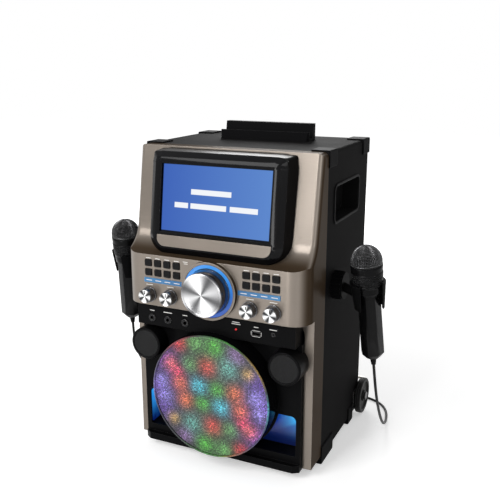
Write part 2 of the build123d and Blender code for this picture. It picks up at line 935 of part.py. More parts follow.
def board_post_places():
    """Where the control board stands on posts behind the panel."""
    side = half_width - panel_corner_radius + board_post_side_set
    rows = (panel_bottom + board_post_edge_set, panel_top - board_post_edge_set)
    return [(sx * side, z) for sx in (-1, 1) for z in rows]


# ---------------------------------------------------------------- keys, knobs and dial

def key(x, z):
    """One square key: a cap through the panel and a rim behind it that keeps it in."""
    wall_back = bezel_wall - panel_reach
    front = -panel_reach - key_proud
    cap = block(x - key_width / 2, x + key_width / 2, front, wall_back + 2 * key_travel,
                z - key_height / 2, z + key_height / 2)
    cap = fillet(cap.edges().filter_by(Axis.Y), key_corner_radius)
    rim_front = wall_back + key_gap
    rim = block(x - key_width / 2 - key_flange, x + key_width / 2 + key_flange,
                rim_front, rim_front + key_rim_thickness,
                z - key_height / 2 - key_flange, z + key_height / 2 + key_flange)
    return cap + rim


def small_knob(x):
    """One chrome knob: a base disc, a narrower grip, a pointer groove and its shaft."""
    base_front = -panel_reach - knob_face_gap - knob_base_thickness
    face = -panel_reach - knob_face_gap - knob_length
    knob = rod(x, base_front, knob_z, knob_base_radius, knob_base_thickness, "y")
    knob += rod(x, face, knob_z, knob_grip_radius, knob_length, "y")
    knob = fillet(knob.edges().filter_by(GeomType.CIRCLE).group_by(Axis.Y)[0], knob_edge_radius)
    groove = block(x - pointer_half_width, x + pointer_half_width, face, face + pointer_depth,
                   knob_z + pointer_start, knob_z + knob_grip_radius)
    knob -= groove
    shaft_back = board_thickness - board_reach
    knob += rod(x, base_front, knob_z, shaft_radius, shaft_back - base_front, "y")
    return knob


def main_knob():
    """The large dial: a tapered body with a spun face, a finger rim and its shaft."""
    length = dial_front - dial_back
    low = (Align.CENTER, Align.CENTER, Align.MIN)
    body = Pos(0, -dial_back, dial_z) * Rot(90, 0, 0) * Cone(dial_radius, dial_face_radius, length, align=low)
    body = chamfer(body.edges().filter_by(GeomType.CIRCLE).group_by(Axis.Y)[0], dial_edge_chamfer)
    groove_radius = dial_face_radius - dial_groove_margin
    body -= tube(0, -dial_front, dial_z, groove_radius, groove_radius - dial_groove_width,
                 dial_groove_depth, "y")
    shaft_back = board_thickness - board_reach
    body += rod(0, -dial_back - overrun, dial_z, shaft_radius, shaft_back + dial_back + overrun, "y")
    return body


def light_ring():
    """The blue translucent ring round the dial, with a flange behind the panel."""
    wall_back = bezel_wall - panel_reach
    rear = wall_back + ring_flange
    front = -panel_reach - collar_proud + ring_front_set
    ring = rod(0, front, dial_z, ring_radius, rear - front, "y")
    ring += rod(0, wall_back, dial_z, ring_radius + ring_flange, ring_flange, "y")
    flange_top = panel_top - bezel_wall - 2 * panel_gap
    flange_low = panel_bottom + bezel_wall + panel_gap
    reach = 2 * ring_radius
    ring -= block(-reach, reach, wall_back - panel_gap, rear, flange_top, dial_z + reach)
    ring -= block(-reach, reach, wall_back - panel_gap, rear, dial_z - reach, flange_low)
    return ring - rod(0, front, dial_z, ring_inner_radius, rear - front, "y")


def well_sheet(inset):
    """The right light well seen from the front: a corner block cut round by the speaker."""
    width = well_edge_x - well_inner_x - 2 * inset
    height = well_high - well_low - 2 * inset
    middle = ((well_edge_x + well_inner_x) / 2, (well_high + well_low) / 2)
    sheet = Pos(*middle) * Rectangle(width, height)
    corner = sheet.vertices().group_by(Axis.Y)[-1].sort_by(Axis.X)[-1]
    sheet = fillet([corner], well_corner_radius - inset)
    return sheet - Pos(0, speaker_z) * Circle(woofer_flange_radius + speaker_ring_margin + inset)


def accent_lights():
    """The two blue bars under the keys and the lit panels at the back of both light wells."""
    wall_back = bezel_wall - panel_reach
    front = -panel_reach - bar_proud
    bars = []
    for x in (bar_left_x, bar_right_x):
        bars.append(block(x - bar_width / 2, x + bar_width / 2, front, wall_back + overrun,
                          bar_z - bar_height / 2, bar_z + bar_height / 2))
    well_back = -fascia_reach + fascia_wall + well_depth
    lit = extrude(Plane.XZ * well_sheet(2 * well_wall), lit_panel_thickness)
    lit = Pos(0, well_back, 0) * lit
    return group(*bars, both_sides(lit))


# ---------------------------------------------------------------- jack panel

def jack_panel():
    """The black strip under the control panel that holds the sockets, open at the back."""
    top = panel_bottom - panel_gap
    low = fascia_top + panel_gap
    back = -leg_reach - panel_gap
    wall = jack_panel_wall
    panel = block(-jack_panel_half_width, jack_panel_half_width, -jack_panel_reach, back, low, top)
    panel -= block(wall - jack_panel_half_width, jack_panel_half_width - wall,
                   wall - jack_panel_reach, back, low + wall, top - wall)
    front = -jack_panel_reach
    for x in jack_x:
        panel -= rod(x, front, jack_z, jack_nut_radius + running_fit, wall, "y")
    panel -= rod(line_jack_x, front, line_jack_z, line_jack_nut_radius + running_fit, wall, "y")
    panel -= block(usb_x - usb_shell_width / 2 - running_fit, usb_x + usb_shell_width / 2 + running_fit,
                   front, front + wall,
                   usb_z - usb_shell_height / 2 - running_fit, usb_z + usb_shell_height / 2 + running_fit)
    panel -= rod(led_x, front, led_z, led_radius + running_fit, wall, "y")
    return panel - rod(0, front, speaker_z, speaker_radius + panel_gap, jack_panel_reach, "y")


def front_sockets():
    """Three 6.35 mm sockets, a 3.5 mm socket, a USB socket and the red lamp."""
    front = -jack_panel_reach
    pieces = []
    for x in jack_x:
        socket = rod(x, front - jack_nut_proud, jack_z, jack_nut_radius,
                     jack_nut_proud + jack_panel_wall, "y")
        socket += rod(x, front + jack_panel_wall, jack_z, jack_body_radius, jack_length, "y")
        depth = jack_nut_proud + jack_panel_wall + jack_length - jack_end_wall
        pieces.append(socket - rod(x, front - jack_nut_proud, jack_z, jack_radius, depth, "y"))
    line_front = front - line_jack_proud
    line = rod(line_jack_x, line_front, line_jack_z, line_jack_nut_radius,
               line_jack_proud + jack_panel_wall, "y")
    line += rod(line_jack_x, front + jack_panel_wall, line_jack_z, line_jack_body_radius,
                line_jack_length, "y")
    depth = line_jack_proud + jack_panel_wall + line_jack_length - line_jack_end_wall
    pieces.append(line - rod(line_jack_x, line_front, line_jack_z, line_jack_radius, depth, "y"))
    pieces.append(usb_socket())
    lamp = rod(led_x, front - led_proud, led_z, led_radius, led_proud + jack_panel_wall, "y")
    lamp += rod(led_x, front + jack_panel_wall, led_z, 2 * led_radius, led_base_length, "y")
    pieces.append(lamp)
    return group(*pieces)


def usb_socket():
    """A metal sleeve with a contact tongue in its upper half."""
    front = -jack_panel_reach
    half_x = usb_shell_width / 2
    half_z = usb_shell_height / 2
    wall = usb_shell_wall
    sleeve = block(usb_x - half_x, usb_x + half_x, front, front + usb_length, usb_z - half_z, usb_z + half_z)
    sleeve -= block(usb_x - half_x + wall, usb_x + half_x - wall, front, front + usb_length - usb_end_wall,
                    usb_z - half_z + wall, usb_z + half_z - wall)
    tongue_half = half_x - usb_tongue_margin
    return sleeve + block(usb_x - tongue_half, usb_x + tongue_half, front + usb_tongue_margin,
                          front + usb_length - usb_end_wall / 2, usb_z + usb_tongue_low,
                          usb_z + usb_tongue_high)


# ---------------------------------------------------------------- lower fascia and speaker

def lower_fascia():
    """The black lower front: a plate with the speaker's opening, light wells and the plinth."""
    half = fascia_half_width
    wall = fascia_wall
    front = -fascia_reach
    body = block(-half, half, front, 0, fascia_bottom, fascia_top)
    body -= block(wall - half, half - wall, front + wall, 0, fascia_bottom + wall, fascia_top - wall)
    flange_half = half_width - bezel_wall - panel_gap
    flange = block(-flange_half, flange_half, -wall, 0, fascia_bottom, fascia_top)
    flange -= block(wall - half, half - wall, -wall, 0, fascia_bottom + wall, fascia_top - wall)
    body += flange
    body += plinth()
    body -= rod(0, front, speaker_z, woofer_opening_radius, wall, "y")
    seat_back = wall - leg_reach
    for side in (-1, 1):
        pod_hole = rod(side * pod_x, front, pod_z, tweeter_radius + panel_gap,
                       fascia_reach - leg_reach - panel_gap, "y")
        body -= pod_hole
        seat_low = pod_z - tweeter_radius
        seat = block(side * (pod_x - tweeter_radius), side * (half - wall / 2), -leg_reach, seat_back,
                     seat_low, fascia_top - wall / 2)
        body += seat
    well = light_well()
    body -= light_well_space()
    body -= mirror(light_well_space(), about=Plane.YZ)
    return body + well + mirror(well, about=Plane.YZ)


def light_well_mouth():
    """The well's opening in the front plate, which leaves a rim round the speaker."""
    rim = speaker_radius + speaker_ring_margin
    sheet = well_sheet(2 * well_wall) - Pos(0, speaker_z) * Circle(rim)
    return extrude(Plane.XZ * sheet, fascia_wall)


def light_well_space():
    """The part of the front plate that the right well's mouth removes."""
    return Pos(0, fascia_wall - fascia_reach, 0) * light_well_mouth()


def light_well():
    """The right well: a cup behind the front plate, which holds the lit panel at its back."""
    front = fascia_wall - fascia_reach
    back = front + well_depth
    outside = Pos(0, back + well_wall, 0) * extrude(Plane.XZ * well_sheet(0), well_depth + well_wall)
    inside = Pos(0, back, 0) * extrude(Plane.XZ * well_sheet(well_wall), well_depth)
    return outside - inside


def plinth():
    """The lip along the bottom of the front, with chamfered corners."""
    front = -plinth_reach
    corner = plinth_half_width
    edge = front + plinth_chamfer
    outline = Polyline((-corner, front), (corner, front), (fascia_half_width, edge),
                       (fascia_half_width, overrun - fascia_reach),
                       (-fascia_half_width, overrun - fascia_reach),
                       (-fascia_half_width, edge), (-corner, front))
    lip = extrude(make_face(outline), plinth_top - fascia_bottom)
    return Pos(0, 0, fascia_bottom) * lip


def speaker_grille():
    """The round speaker front: a deep rim and a thin translucent plate set into it."""
    depth = speaker_reach - fascia_reach
    ring = tube(0, -speaker_reach, speaker_z, speaker_radius, speaker_inner_radius, depth, "y")
    front_edges = ring.edges().filter_by(GeomType.CIRCLE).group_by(Axis.Y)[0]
    ring = fillet(front_edges.sort_by(SortBy.RADIUS)[-1:], speaker_edge_radius)
    plate_front = speaker_plate_set - speaker_reach
    return ring + rod(0, plate_front, speaker_z, speaker_inner_radius + overrun, speaker_plate, "y")


def led_board():
    """A lattice board of lamps between the speaker's plate and its cone, on four posts."""
    front = -led_board_reach
    board = tube(0, front, speaker_z, led_board_radius, led_board_radius - led_ring_width,
                 led_board_thickness, "y")
    reach = led_board_radius - 2 * overrun
    count = int((reach - led_strip / 2) // led_pitch)
    middle = Pos(0, front + led_board_thickness / 2, speaker_z)
    for step in range(-count, count + 1):
        place = step * led_pitch
        chord = 2 * (reach ** 2 - (abs(place) + led_strip / 2) ** 2) ** 0.5
        board += middle * Pos(0, 0, place) * Box(chord, led_board_thickness, led_strip)
        board += middle * Pos(place, 0, 0) * Box(led_strip, led_board_thickness, chord)
    for step_x in range(-count, count + 1):
        for step_z in range(-count, count + 1):
            x = step_x * led_pitch
            z = step_z * led_pitch
            if hypot(x, z) < led_board_radius - led_strip:
                board += rod(x, front - led_lamp_height, speaker_z + z, led_lamp_radius,
                             led_lamp_height + weld, "y")
    back = front + led_board_thickness
    for quarter in range(4):
        angle = radians(45 + 90 * quarter)
        board += rod(led_post_circle * cos(angle), back - weld, speaker_z + led_post_circle * sin(angle),
                     led_post_radius, -fascia_reach - back + weld, "y")
    return board


def woofer():
    """The loudspeaker: a basket with its magnet, and the paper cone with its dust cap."""
    face = fascia_wall - fascia_reach
    flange_back = face + woofer_flange_thickness
    basket_back = flange_back + woofer_basket_depth
    magnet_back = basket_back + woofer_magnet_depth
    magnet = woofer_magnet_radius
    opening = woofer_opening_radius
    wall = woofer_basket_wall
    frame = Polyline((opening - wall, face), (woofer_flange_radius, face),
                     (woofer_flange_radius, flange_back), (opening, flange_back),
                     (magnet + wall, basket_back), (magnet, magnet_back), (0, magnet_back),
                     (0, basket_back - wall), (magnet, basket_back - wall),
                     (opening - wall, flange_back), (opening - wall, face))
    basket = revolve(make_face(frame), Axis.Y)
    throat = woofer_throat_radius
    cone_back = basket_back - woofer_basket_depth / 3
    skin = woofer_cone_wall
    rim = opening - wall - panel_gap
    sheet = Polyline((rim, face), (rim, face + skin), (throat, cone_back + skin), (0, cone_back + skin),
                     (0, cone_back - throat / 2), (throat / 2, cone_back - throat / 3),
                     (throat, cone_back), (rim - wall, face), (rim, face))
    cone = revolve(make_face(sheet), Axis.Y)
    coil_former = rod(0, cone_back + skin, 0, throat - wall, basket_back - wall - cone_back - skin, "y")
    return Pos(0, 0, speaker_z) * group(basket, cone + coil_former)


def tweeter_pods():
    """Two round pods beside the speaker, each with a driver behind a mesh."""
    back = -leg_reach - panel_gap
    bore = tweeter_radius - tweeter_wall
    case = rod(pod_x, -tweeter_reach, pod_z, tweeter_radius, tweeter_reach + back, "y")
    case = fillet(case.edges().filter_by(GeomType.CIRCLE).group_by(Axis.Y)[0], tweeter_edge_radius)
    case -= rod(pod_x, -tweeter_reach, pod_z, bore, tweeter_reach + back - tweeter_wall, "y")
    mesh_front = tweeter_grille_set - tweeter_reach
    driver_front = mesh_front + tweeter_grille_thickness + tweeter_driver_gap
    boss_front = driver_front + tweeter_driver_depth
    case += rod(pod_x, boss_front, pod_z, tweeter_driver_radius - tweeter_boss_step,
                back - boss_front - overrun, "y")
    mesh = rod(pod_x, mesh_front, pod_z, bore - key_gap, tweeter_grille_thickness, "y")
    driver = rod(pod_x, driver_front, pod_z, tweeter_driver_radius, tweeter_driver_depth, "y")
    return both_sides(group(case, mesh, driver))


# ---------------------------------------------------------------- disc tray and loader

pitch_radius = gear_module * pinion_teeth / 2
tooth_pitch = pi * gear_module
addendum = 0.8 * gear_module
pitch_line_z = rack_root - 1.25 * gear_module
pinion_z = pitch_line_z - pitch_radius


def tray_door():
    """The silver strip on the tray's front, flush with the leaning face of the pod."""
    return door_outline(0) & pod_slab(0, door_thickness)


def rack_tooth(y):
    """One rack tooth that points down, with flanks at 20 degrees."""
    lean = tan(radians(20))
    tip = pitch_line_z - addendum
    half = tooth_share * tooth_pitch / 2
    wide = half + (rack_root - pitch_line_z) * lean
    narrow = half - addendum * lean
    outline = Polyline((y - wide, rack_root), (y + wide, rack_root), (y + narrow, tip),
                       (y - narrow, tip), (y - wide, rack_root))
    return Pos(rack_middle_x, 0, 0) * extrude(make_face(Plane.YZ * outline), rack_width / 2, both=True)


def disc_tray():
    """The tray: a plate with disc seats, a slot that is open to the rear, and the rack below."""
    rear = tray_rear
    top = tray_bottom + tray_thickness
    half = tray_width / 2
    tray = block(-half, half, -2 * pod_reach, rear, tray_bottom, top)
    tray = tray & pod_slab(door_thickness, 2 * cabinet_depth)
    tray -= rod(0, disc_middle_y, top - disc_recess_depth, disc_recess_radius, tray_thickness, "z")
    low_seat = top - disc_recess_depth - small_disc_depth
    tray -= rod(0, disc_middle_y, low_seat, small_disc_radius, tray_thickness, "z")
    slot_front = disc_middle_y - tray_slot_front
    tray -= block(-tray_slot_half_width, tray_slot_half_width, slot_front, rear, tray_bottom, top)
    rack_front = pinion_y - 1.5 * tooth_pitch
    teeth = int(rack_length / tooth_pitch)
    rack_back = rack_front + teeth * tooth_pitch
    tray += block(rack_middle_x - rack_width / 2, rack_middle_x + rack_width / 2,
                  rack_front - tooth_pitch / 2, rack_back - tooth_pitch / 2, rack_root, tray_bottom + weld)
    for step in range(teeth):
        tray += rack_tooth(rack_front + step * tooth_pitch)
    return tray


def tray_pinion():
    """The small gear under the rack, with the stub shaft that turns in the chassis."""
    root = pitch_radius - 1.25 * gear_module
    tip = pitch_radius + addendum
    half = tooth_share * tooth_pitch / 2
    start = rack_middle_x - rack_width / 2
    gear = rod(start, 0, 0, root, rack_width, "x")
    foot = 1.25 * half
    crown = 0.5 * half
    sunk = root - overrun
    outline = Polyline((-foot, sunk), (foot, sunk), (half, pitch_radius), (crown, tip),
                       (-crown, tip), (-half, pitch_radius), (-foot, sunk))
    tooth = extrude(make_face(Plane.YZ * outline), rack_width)
    for step in range(pinion_teeth):
        gear += Pos(start, 0, 0) * Rot(360 * step / pinion_teeth, 0, 0) * tooth
    shaft_start = -chassis_half_width
    shaft_end = start + rack_width + bearing_gap + bearing_thickness
    shaft = rod(shaft_start, 0, 0, pinion_shaft_radius, shaft_end - shaft_start, "x")
    return Pos(0, pinion_y, pinion_z) * (gear + shaft)


def loader_chassis():
    """The tray's frame: a floor, two guided walls, the clamp's bridge, a motor and the rails."""
    half = chassis_half_width
    wall = chassis_wall
    floor_low = chassis_floor_top - chassis_floor_thickness
    frame = block(-half, half, chassis_front, chassis_rear, floor_low, chassis_floor_top)
    tray_half = tray_width / 2 + slide_gap
    guide_top = tray_bottom - slide_gap
    upper_guide = guide_top + tray_thickness + 2 * slide_gap
    guide_root = half - wall + weld
    for side in (-1, 1):
        frame += block(side * (half - wall), side * half, chassis_front, chassis_rear,
                       floor_low, bridge_height)
        frame += block(side * tray_half, side * guide_root, chassis_front, chassis_rear,
                       guide_top - guide_thickness, guide_top + tray_thickness + guide_rise)
        frame += block(side * (tray_half - guide_width / 2), side * guide_root,
                       chassis_front, chassis_rear, guide_top - guide_thickness, guide_top)
        frame += block(side * (tray_half - guide_width / 2), side * guide_root,
                       chassis_front, chassis_rear, upper_guide, upper_guide + guide_thickness)
    bridge_low = bridge_height - bridge_thickness
    floor_weld = chassis_floor_top - weld
    frame += block(-half, half, disc_middle_y - bridge_half_length, disc_middle_y + bridge_half_length,
                   bridge_low, bridge_height)
    frame += rod(0, disc_middle_y, clamp_bottom, clamp_radius, bridge_low - clamp_bottom + weld, "z")
    frame += tube(0, disc_middle_y, floor_weld, spindle_motor_radius, spindle_shaft_radius
                  + running_fit, spindle_motor_top - floor_weld, "z")
    for end in (rail_front, rail_rear):
        frame += block(-rail_spacing / 2 - rail_block_margin, rail_spacing / 2 + rail_block_margin,
                       end, end + rail_block_length, floor_weld, rail_height + rail_block_margin)
    for side in (-1, 1):
        frame += rod(side * rail_spacing / 2, rail_front, rail_height, rail_radius,
                     rail_rear - rail_front, "y")
    bearing_top = pinion_z + bearing_half_length
    bearing_front = pinion_y - bearing_half_length
    bearing_back = pinion_y + bearing_half_length
    gear_left = rack_middle_x - rack_width / 2 - bearing_gap
    gear_right = rack_middle_x + rack_width / 2 + bearing_gap
    frame += block(-half, gear_left, bearing_front, bearing_back, floor_low, bearing_top)
    frame += block(gear_right, gear_right + bearing_thickness, bearing_front, bearing_back,
                   floor_weld, bearing_top)
    bore_end = gear_right + bearing_thickness + overrun
    frame -= rod(-half, pinion_y, pinion_z, pinion_shaft_radius + running_fit, bore_end + half, "x")
    frame += chassis_motor()
    return frame


def chassis_motor():
    """The loading motor, a can on the chassis floor beside the spindle."""
    return rod(loading_motor_x, chassis_front + loading_motor_set, chassis_floor_top + loading_motor_rise,
               loading_motor_radius, loading_motor_length, "y")


def disc_spindle():
    """The turning hub that carries a disc: a flange, a centring cone and the motor's shaft."""
    low = (Align.CENTER, Align.CENTER, Align.MIN)
    hub = rod(0, disc_middle_y, spindle_hub_bottom, spindle_hub_radius,
              spindle_seat - spindle_hub_bottom, "z")
    cone = Cone(spindle_cone_radius, spindle_cone_radius - spindle_cone_taper, spindle_cone_height,
                align=low)
    hub += Pos(0, disc_middle_y, spindle_seat) * cone
    shaft_bottom = chassis_floor_top + spindle_shaft_rise
    return hub + rod(0, disc_middle_y, shaft_bottom, spindle_shaft_radius,
                     spindle_hub_bottom - shaft_bottom + weld, "z")


def laser_sled():
    """The pickup: a block that runs on both rails, with its lens on top."""
    half = sled_half_width
    low = rail_height - sled_thickness / 2 + sled_lift
    sled = block(-half, half, sled_start, sled_start + sled_length, low, low + sled_thickness)
    for side in (-1, 1):
        sled -= rod(side * rail_spacing / 2, sled_start, rail_height, rail_radius + running_fit,
                    sled_length, "y")
    return sled + rod(0, sled_start + sled_length / 2, low + sled_thickness, lens_radius,
                      lens_height, "z")


def circuit_boards():
    """The control board with its switches, pots and encoder, the main board and the supply."""
    back = board_thickness - board_reach
    half_x = half_width - panel_corner_radius + board_side_margin
    control = block(-half_x, half_x, -board_reach, back, panel_bottom + board_edge_margin,
                    panel_top - board_edge_margin)
    switch_front = bezel_wall - panel_reach + 3 * key_travel + switch_gap
    half = switch_half_width
    for x, z in key_places():
        control += block(x - half, x + half, switch_front, solder_depth - board_reach, z - half, z + half)
    for x in knob_columns:
        control += turned_control(x, knob_z, pot_radius, pot_neck_radius)
        control -= shaft_bore(x, knob_z)
    control += turned_control(0, dial_z, encoder_radius, encoder_neck_radius)
    control -= shaft_bore(0, dial_z)
    return group(control, main_board(), power_supply())


def turned_control(x, z, radius, neck_radius):
    """A pot or encoder: its can behind the control board and its neck in front of it."""
    can = rod(x, board_thickness - board_reach - solder_depth, z, radius, pot_length, "y")
    return can + rod(x, -board_reach - pot_neck_length, z, neck_radius, pot_neck_length + solder_depth, "y")


def shaft_bore(x, z):
    """The bore through a control's neck and the board, with its shaft's running fit."""
    start = -board_reach - pot_neck_length - overrun
    length = board_thickness + pot_neck_length + overrun + weld
    return rod(x, start, z, shaft_radius + running_fit, length, "y")


def main_board():
    """The amplifier and disc controller, standing off the back panel."""
    panel = cabinet_depth - back_panel_thickness
    back = panel - main_board_stand
    front = back - board_thickness
    half = main_board_width / 2
    low = handle_middle_height - handle_height / 2 - main_board_height - main_board_drop
    board = block(-half, half, front, back, low, low + main_board_height)
    for sx in (-1, 1):
        for z in (low + main_post_inset, low + main_board_height - main_post_inset):
            board += rod(sx * (half - main_post_inset), back - weld, z, inner_post_radius,
                         main_board_stand + weld, "y")
    board += heat_sink(front, low)
    for x in (-main_can_x, main_can_x):
        board += rod(x, front - main_can_length, low + main_can_z, main_can_radius,
                     main_can_length + solder_depth, "y")
    return board


def heat_sink(board_front, board_low):
    """The finned block on the main board."""
    half = heat_sink_half_width
    front = board_front - heat_sink_depth
    low = board_low + heat_sink_low
    high = board_low + heat_sink_high
    sink = block(-half, half, front, board_front + solder_depth, low, high)
    fin = heat_sink_fin
    for step in range(heat_sink_slots):
        x = -half + fin + step * 3 * fin
        sink -= block(x + fin, x + 2 * fin, front, board_front - heat_sink_base, low, high)
    return sink


def power_supply():
    """The supply board with its transformer, on the cabinet's floor."""
    floor = cabinet_bottom + cabinet_wall
    board_low = floor + supply_stand
    right = supply_left + supply_width
    back = supply_front + supply_depth
    board = block(supply_left, right, supply_front, back, board_low, board_low + board_thickness)
    for x in (supply_left + main_post_inset, right - main_post_inset):
        for y in (supply_front + main_post_inset, back - main_post_inset):
            board += rod(x, y, floor, inner_post_radius, supply_stand + solder_depth, "z")
    seat = board_low + overrun
    board += block(transformer_left, transformer_left + transformer_width, transformer_front,
                   transformer_front + transformer_depth, seat, board_low + transformer_height)
    for y in supply_can_places:
        board += rod(supply_can_x, y, seat, supply_can_radius, supply_can_height, "z")
    return board


# ---------------------------------------------------------------- microphones, holders and cords

mic_length = hypot(mic_lean_x, mic_lean_y, mic_drop)
mic_up = (-mic_lean_x / mic_length, -mic_lean_y / mic_length, mic_drop / mic_length)
mic_frame = Plane(origin=(mic_x, mic_y, mic_z), x_dir=(mic_drop, 0, mic_lean_x), z_dir=mic_up)
mic_place = Location(mic_frame)


def along_mic(distance):
    """The point on the right microphone's axis at a distance above its head's middle."""
    return tuple(start + distance * step for start, step in zip((mic_x, mic_y, mic_z), mic_up))


def neck_radius(height):
    """The neck's radius at a height below the head's middle (a negative number)."""
    share = (-height - mic_head_bottom) / (mic_neck_bottom - mic_head_bottom)
    top_radius = mic_head_radius - mic_head_step
    return top_radius - share * (top_radius - mic_neck_radius)


def mic_body():
    """The handle: a ribbed conical neck, an eight-sided grip, a tapered end and its boot."""
    low = (Align.CENTER, Align.CENTER, Align.MIN)
    neck_length = mic_neck_bottom - mic_head_bottom
    neck = Pos(0, 0, -mic_neck_bottom) * Cone(mic_neck_radius, neck_radius(-mic_head_bottom),
                                              neck_length, align=low)
    for step in range(mic_rib_count):
        height = -mic_head_bottom - mic_rib_start - step * mic_rib_step
        rib_radius = neck_radius(height) + mic_rib_height
        neck += Pos(0, 0, height) * Cylinder(rib_radius, mic_rib_width)
    grip_length = mic_body_bottom - mic_neck_bottom
    facets = RegularPolygon(mic_body_radius, mic_facets)
    grip = Pos(0, 0, -mic_body_bottom) * extrude(facets, grip_length + overrun)
    tip = loft([Pos(0, 0, -mic_tip) * RegularPolygon(mic_tip_radius, mic_facets).face(),
                Pos(0, 0, -mic_body_bottom) * facets.face()], ruled=True)
    boot = Pos(0, 0, -mic_tip - boot_length) * Cone(boot_tip_radius, boot_radius, boot_length, align=low)
    return mic_place * group(neck + grip + tip, boot)


def mic_head():
    """The ball of wire mesh, a hollow dome that sits on the neck."""
    low = (Align.CENTER, Align.CENTER, Align.MIN)
    outer = Sphere(mic_head_radius) & Pos(0, 0, -mic_head_bottom) * Cylinder(
        2 * mic_head_radius, 2 * mic_head_radius, align=low)
    inner = Sphere(mic_head_radius - mic_head_wall)
    return mic_place * (outer - inner)


def mic_holders():
    """On each side a ribbed boss, an arm and the conical clip that the neck rests in."""
    length = -clip_flare_top + clip_bottom
    low = (Align.CENTER, Align.CENTER, Align.MIN)
    flare_radius = neck_radius(-clip_flare_top) + clip_gap + mic_rib_height
    seat_radius = mic_body_radius + clip_gap
    shoulder = mic_neck_bottom + slide_gap
    cup = Pos(0, 0, -clip_bottom) * Cone(seat_radius + clip_wall, flare_radius + clip_wall, length, align=low)
    bore = Pos(0, 0, -clip_bottom - overrun) * Cylinder(
        seat_radius, clip_bottom - shoulder + overrun, align=low)
    flare = Pos(0, 0, -shoulder) * Cone(mic_neck_radius + clip_gap, flare_radius,
                                        shoulder - clip_flare_top, align=low)
    mouth = Pos(0, 0, -clip_flare_top - mouth_overlap) * Cylinder(flare_radius, boss_length, align=low)
    hollow = bore + flare + mouth
    slot = Rot(0, 0, -clip_turn) * Pos(mic_head_radius, 0, -clip_bottom / 2) * Box(
        2 * mic_head_radius, clip_slot, 2 * clip_bottom)
    boss_end = half_width + boss_length
    boss = rod(half_width, holder_y, holder_z, boss_radius, boss_length, "x")
    for step in range(boss_rib_count):
        angle = 2 * pi * step / boss_rib_count
        boss += rod(half_width, holder_y + boss_radius * cos(angle), holder_z + boss_radius * sin(angle),
                    boss_rib_radius, boss_length - boss_rib_short, "x")
    clip_middle = along_mic(-(clip_bottom + shoulder) / 2)
    start = (boss_end - arm_radius, holder_y, holder_z)
    reach = tuple(end - begin for begin, end in zip(start, clip_middle))
    arm = Location(Plane(origin=start, z_dir=reach)) * Cylinder(arm_radius, hypot(*reach), align=low)
    clip = mic_place * (cup - slot)
    holder = boss + arm + clip - mic_place * hollow - mic_place * slot
    return both_sides(holder.solids().sort_by(SortBy.VOLUME)[-1])


def turn_radii(points):
    """Arc radii for a cord's corners: 0.45 of the shorter run over the tangent of half the turn."""
    radii = []
    for before, here, after in zip(points, points[1:], points[2:]):
        run_in = Vector(*here) - Vector(*before)
        run_out = Vector(*after) - Vector(*here)
        turn = acos(max(-1, min(1, run_in.dot(run_out) / (run_in.length * run_out.length))))
        radii.append(0.45 * min(run_in.length, run_out.length) / tan(turn / 2))
    return radii


coil_outer_radius = coil_inner_radius + coil_turns_per_layer * coil_turn_pitch
coil_start = (coil_x + coil_lead, coil_y - coil_outer_radius, cord_radius)


def cord_points():
    """The right cord's route from the boot down to the floor and round behind the cabinet."""
    boot_end = mic_tip + boot_length
    return [along_mic(-boot_end), along_mic(-boot_end - 38), (248.6, 58, 120), (248, 78, 89),
            (246, 104, 60), (243, 134, 34), (239, 168, 13), (234, 206, cord_radius),
            (225, 242, cord_radius), (206, 269, cord_radius), (177, 283, cord_radius),
            (142, 284, cord_radius), (coil_start[0] + 38, coil_start[1], cord_radius), coil_start]


def mic_cords():
    """Both cords' free stretches, each one tube on straight runs and tangent arcs."""
    points = cord_points()
    radii = turn_radii(points)
    route = FilletPolyline(*points, radius=radii)
    cord = sweep((route ^ 0) * Circle(cord_radius), path=route)
    expected = pi * cord_radius ** 2 * route.length
    print("cord radii", [round(radius, 1) for radius in radii])
    print("cord length", round(route.length, 1), "volume share", round(cord.volume / expected, 4))
    return both_sides(cord)


def coil_point(turn):
    """The coil's middle line: turns inwards on the floor, a climb, then turns outwards on top."""
    layer = coil_turns_per_layer
    inward = min(turn, layer)
    climb = min(max(turn - layer, 0) / coil_climb, 1)
    outward = max(turn - layer - coil_climb, 0)
    radius = coil_outer_radius - coil_turn_pitch * (inward - outward)
    height = cord_radius + coil_layer_pitch * climb * climb * (3 - 2 * climb)
    angle = -pi / 2 - 2 * pi * turn
    return Vector(coil_x + radius * cos(angle), coil_y + radius * sin(angle), height)


def coil_direction(turn, total):
    """The middle line's direction, exact at both ends so that the tube leaves them straight."""
    if turn <= 0 or turn >= total:
        angle = -pi / 2 - 2 * pi * turn
        return Vector(sin(angle), -cos(angle), 0)
    step = 0.001
    return (coil_point(turn + step) - coil_point(turn - step)).normalized()


def biarc(start, start_way, end, end_way):
    """Two arcs that join two points and keep both directions."""
    gap = end - start
    ways = start_way + end_way
    a = 2 * (1 - start_way.dot(end_way))
    b = 2 * gap.dot(ways)
    c = -gap.dot(gap)
    reach = -c / b if a < 1e-9 else (-b + (b * b - 4 * a * c) ** 0.5) / (2 * a)
    first = start + start_way * reach
    second = end - end_way * reach
    middle = (first + second) * 0.5
    return [Edge.make_tangent_arc(start, start_way, middle),
            Edge.make_tangent_arc(middle, second - first, end)]


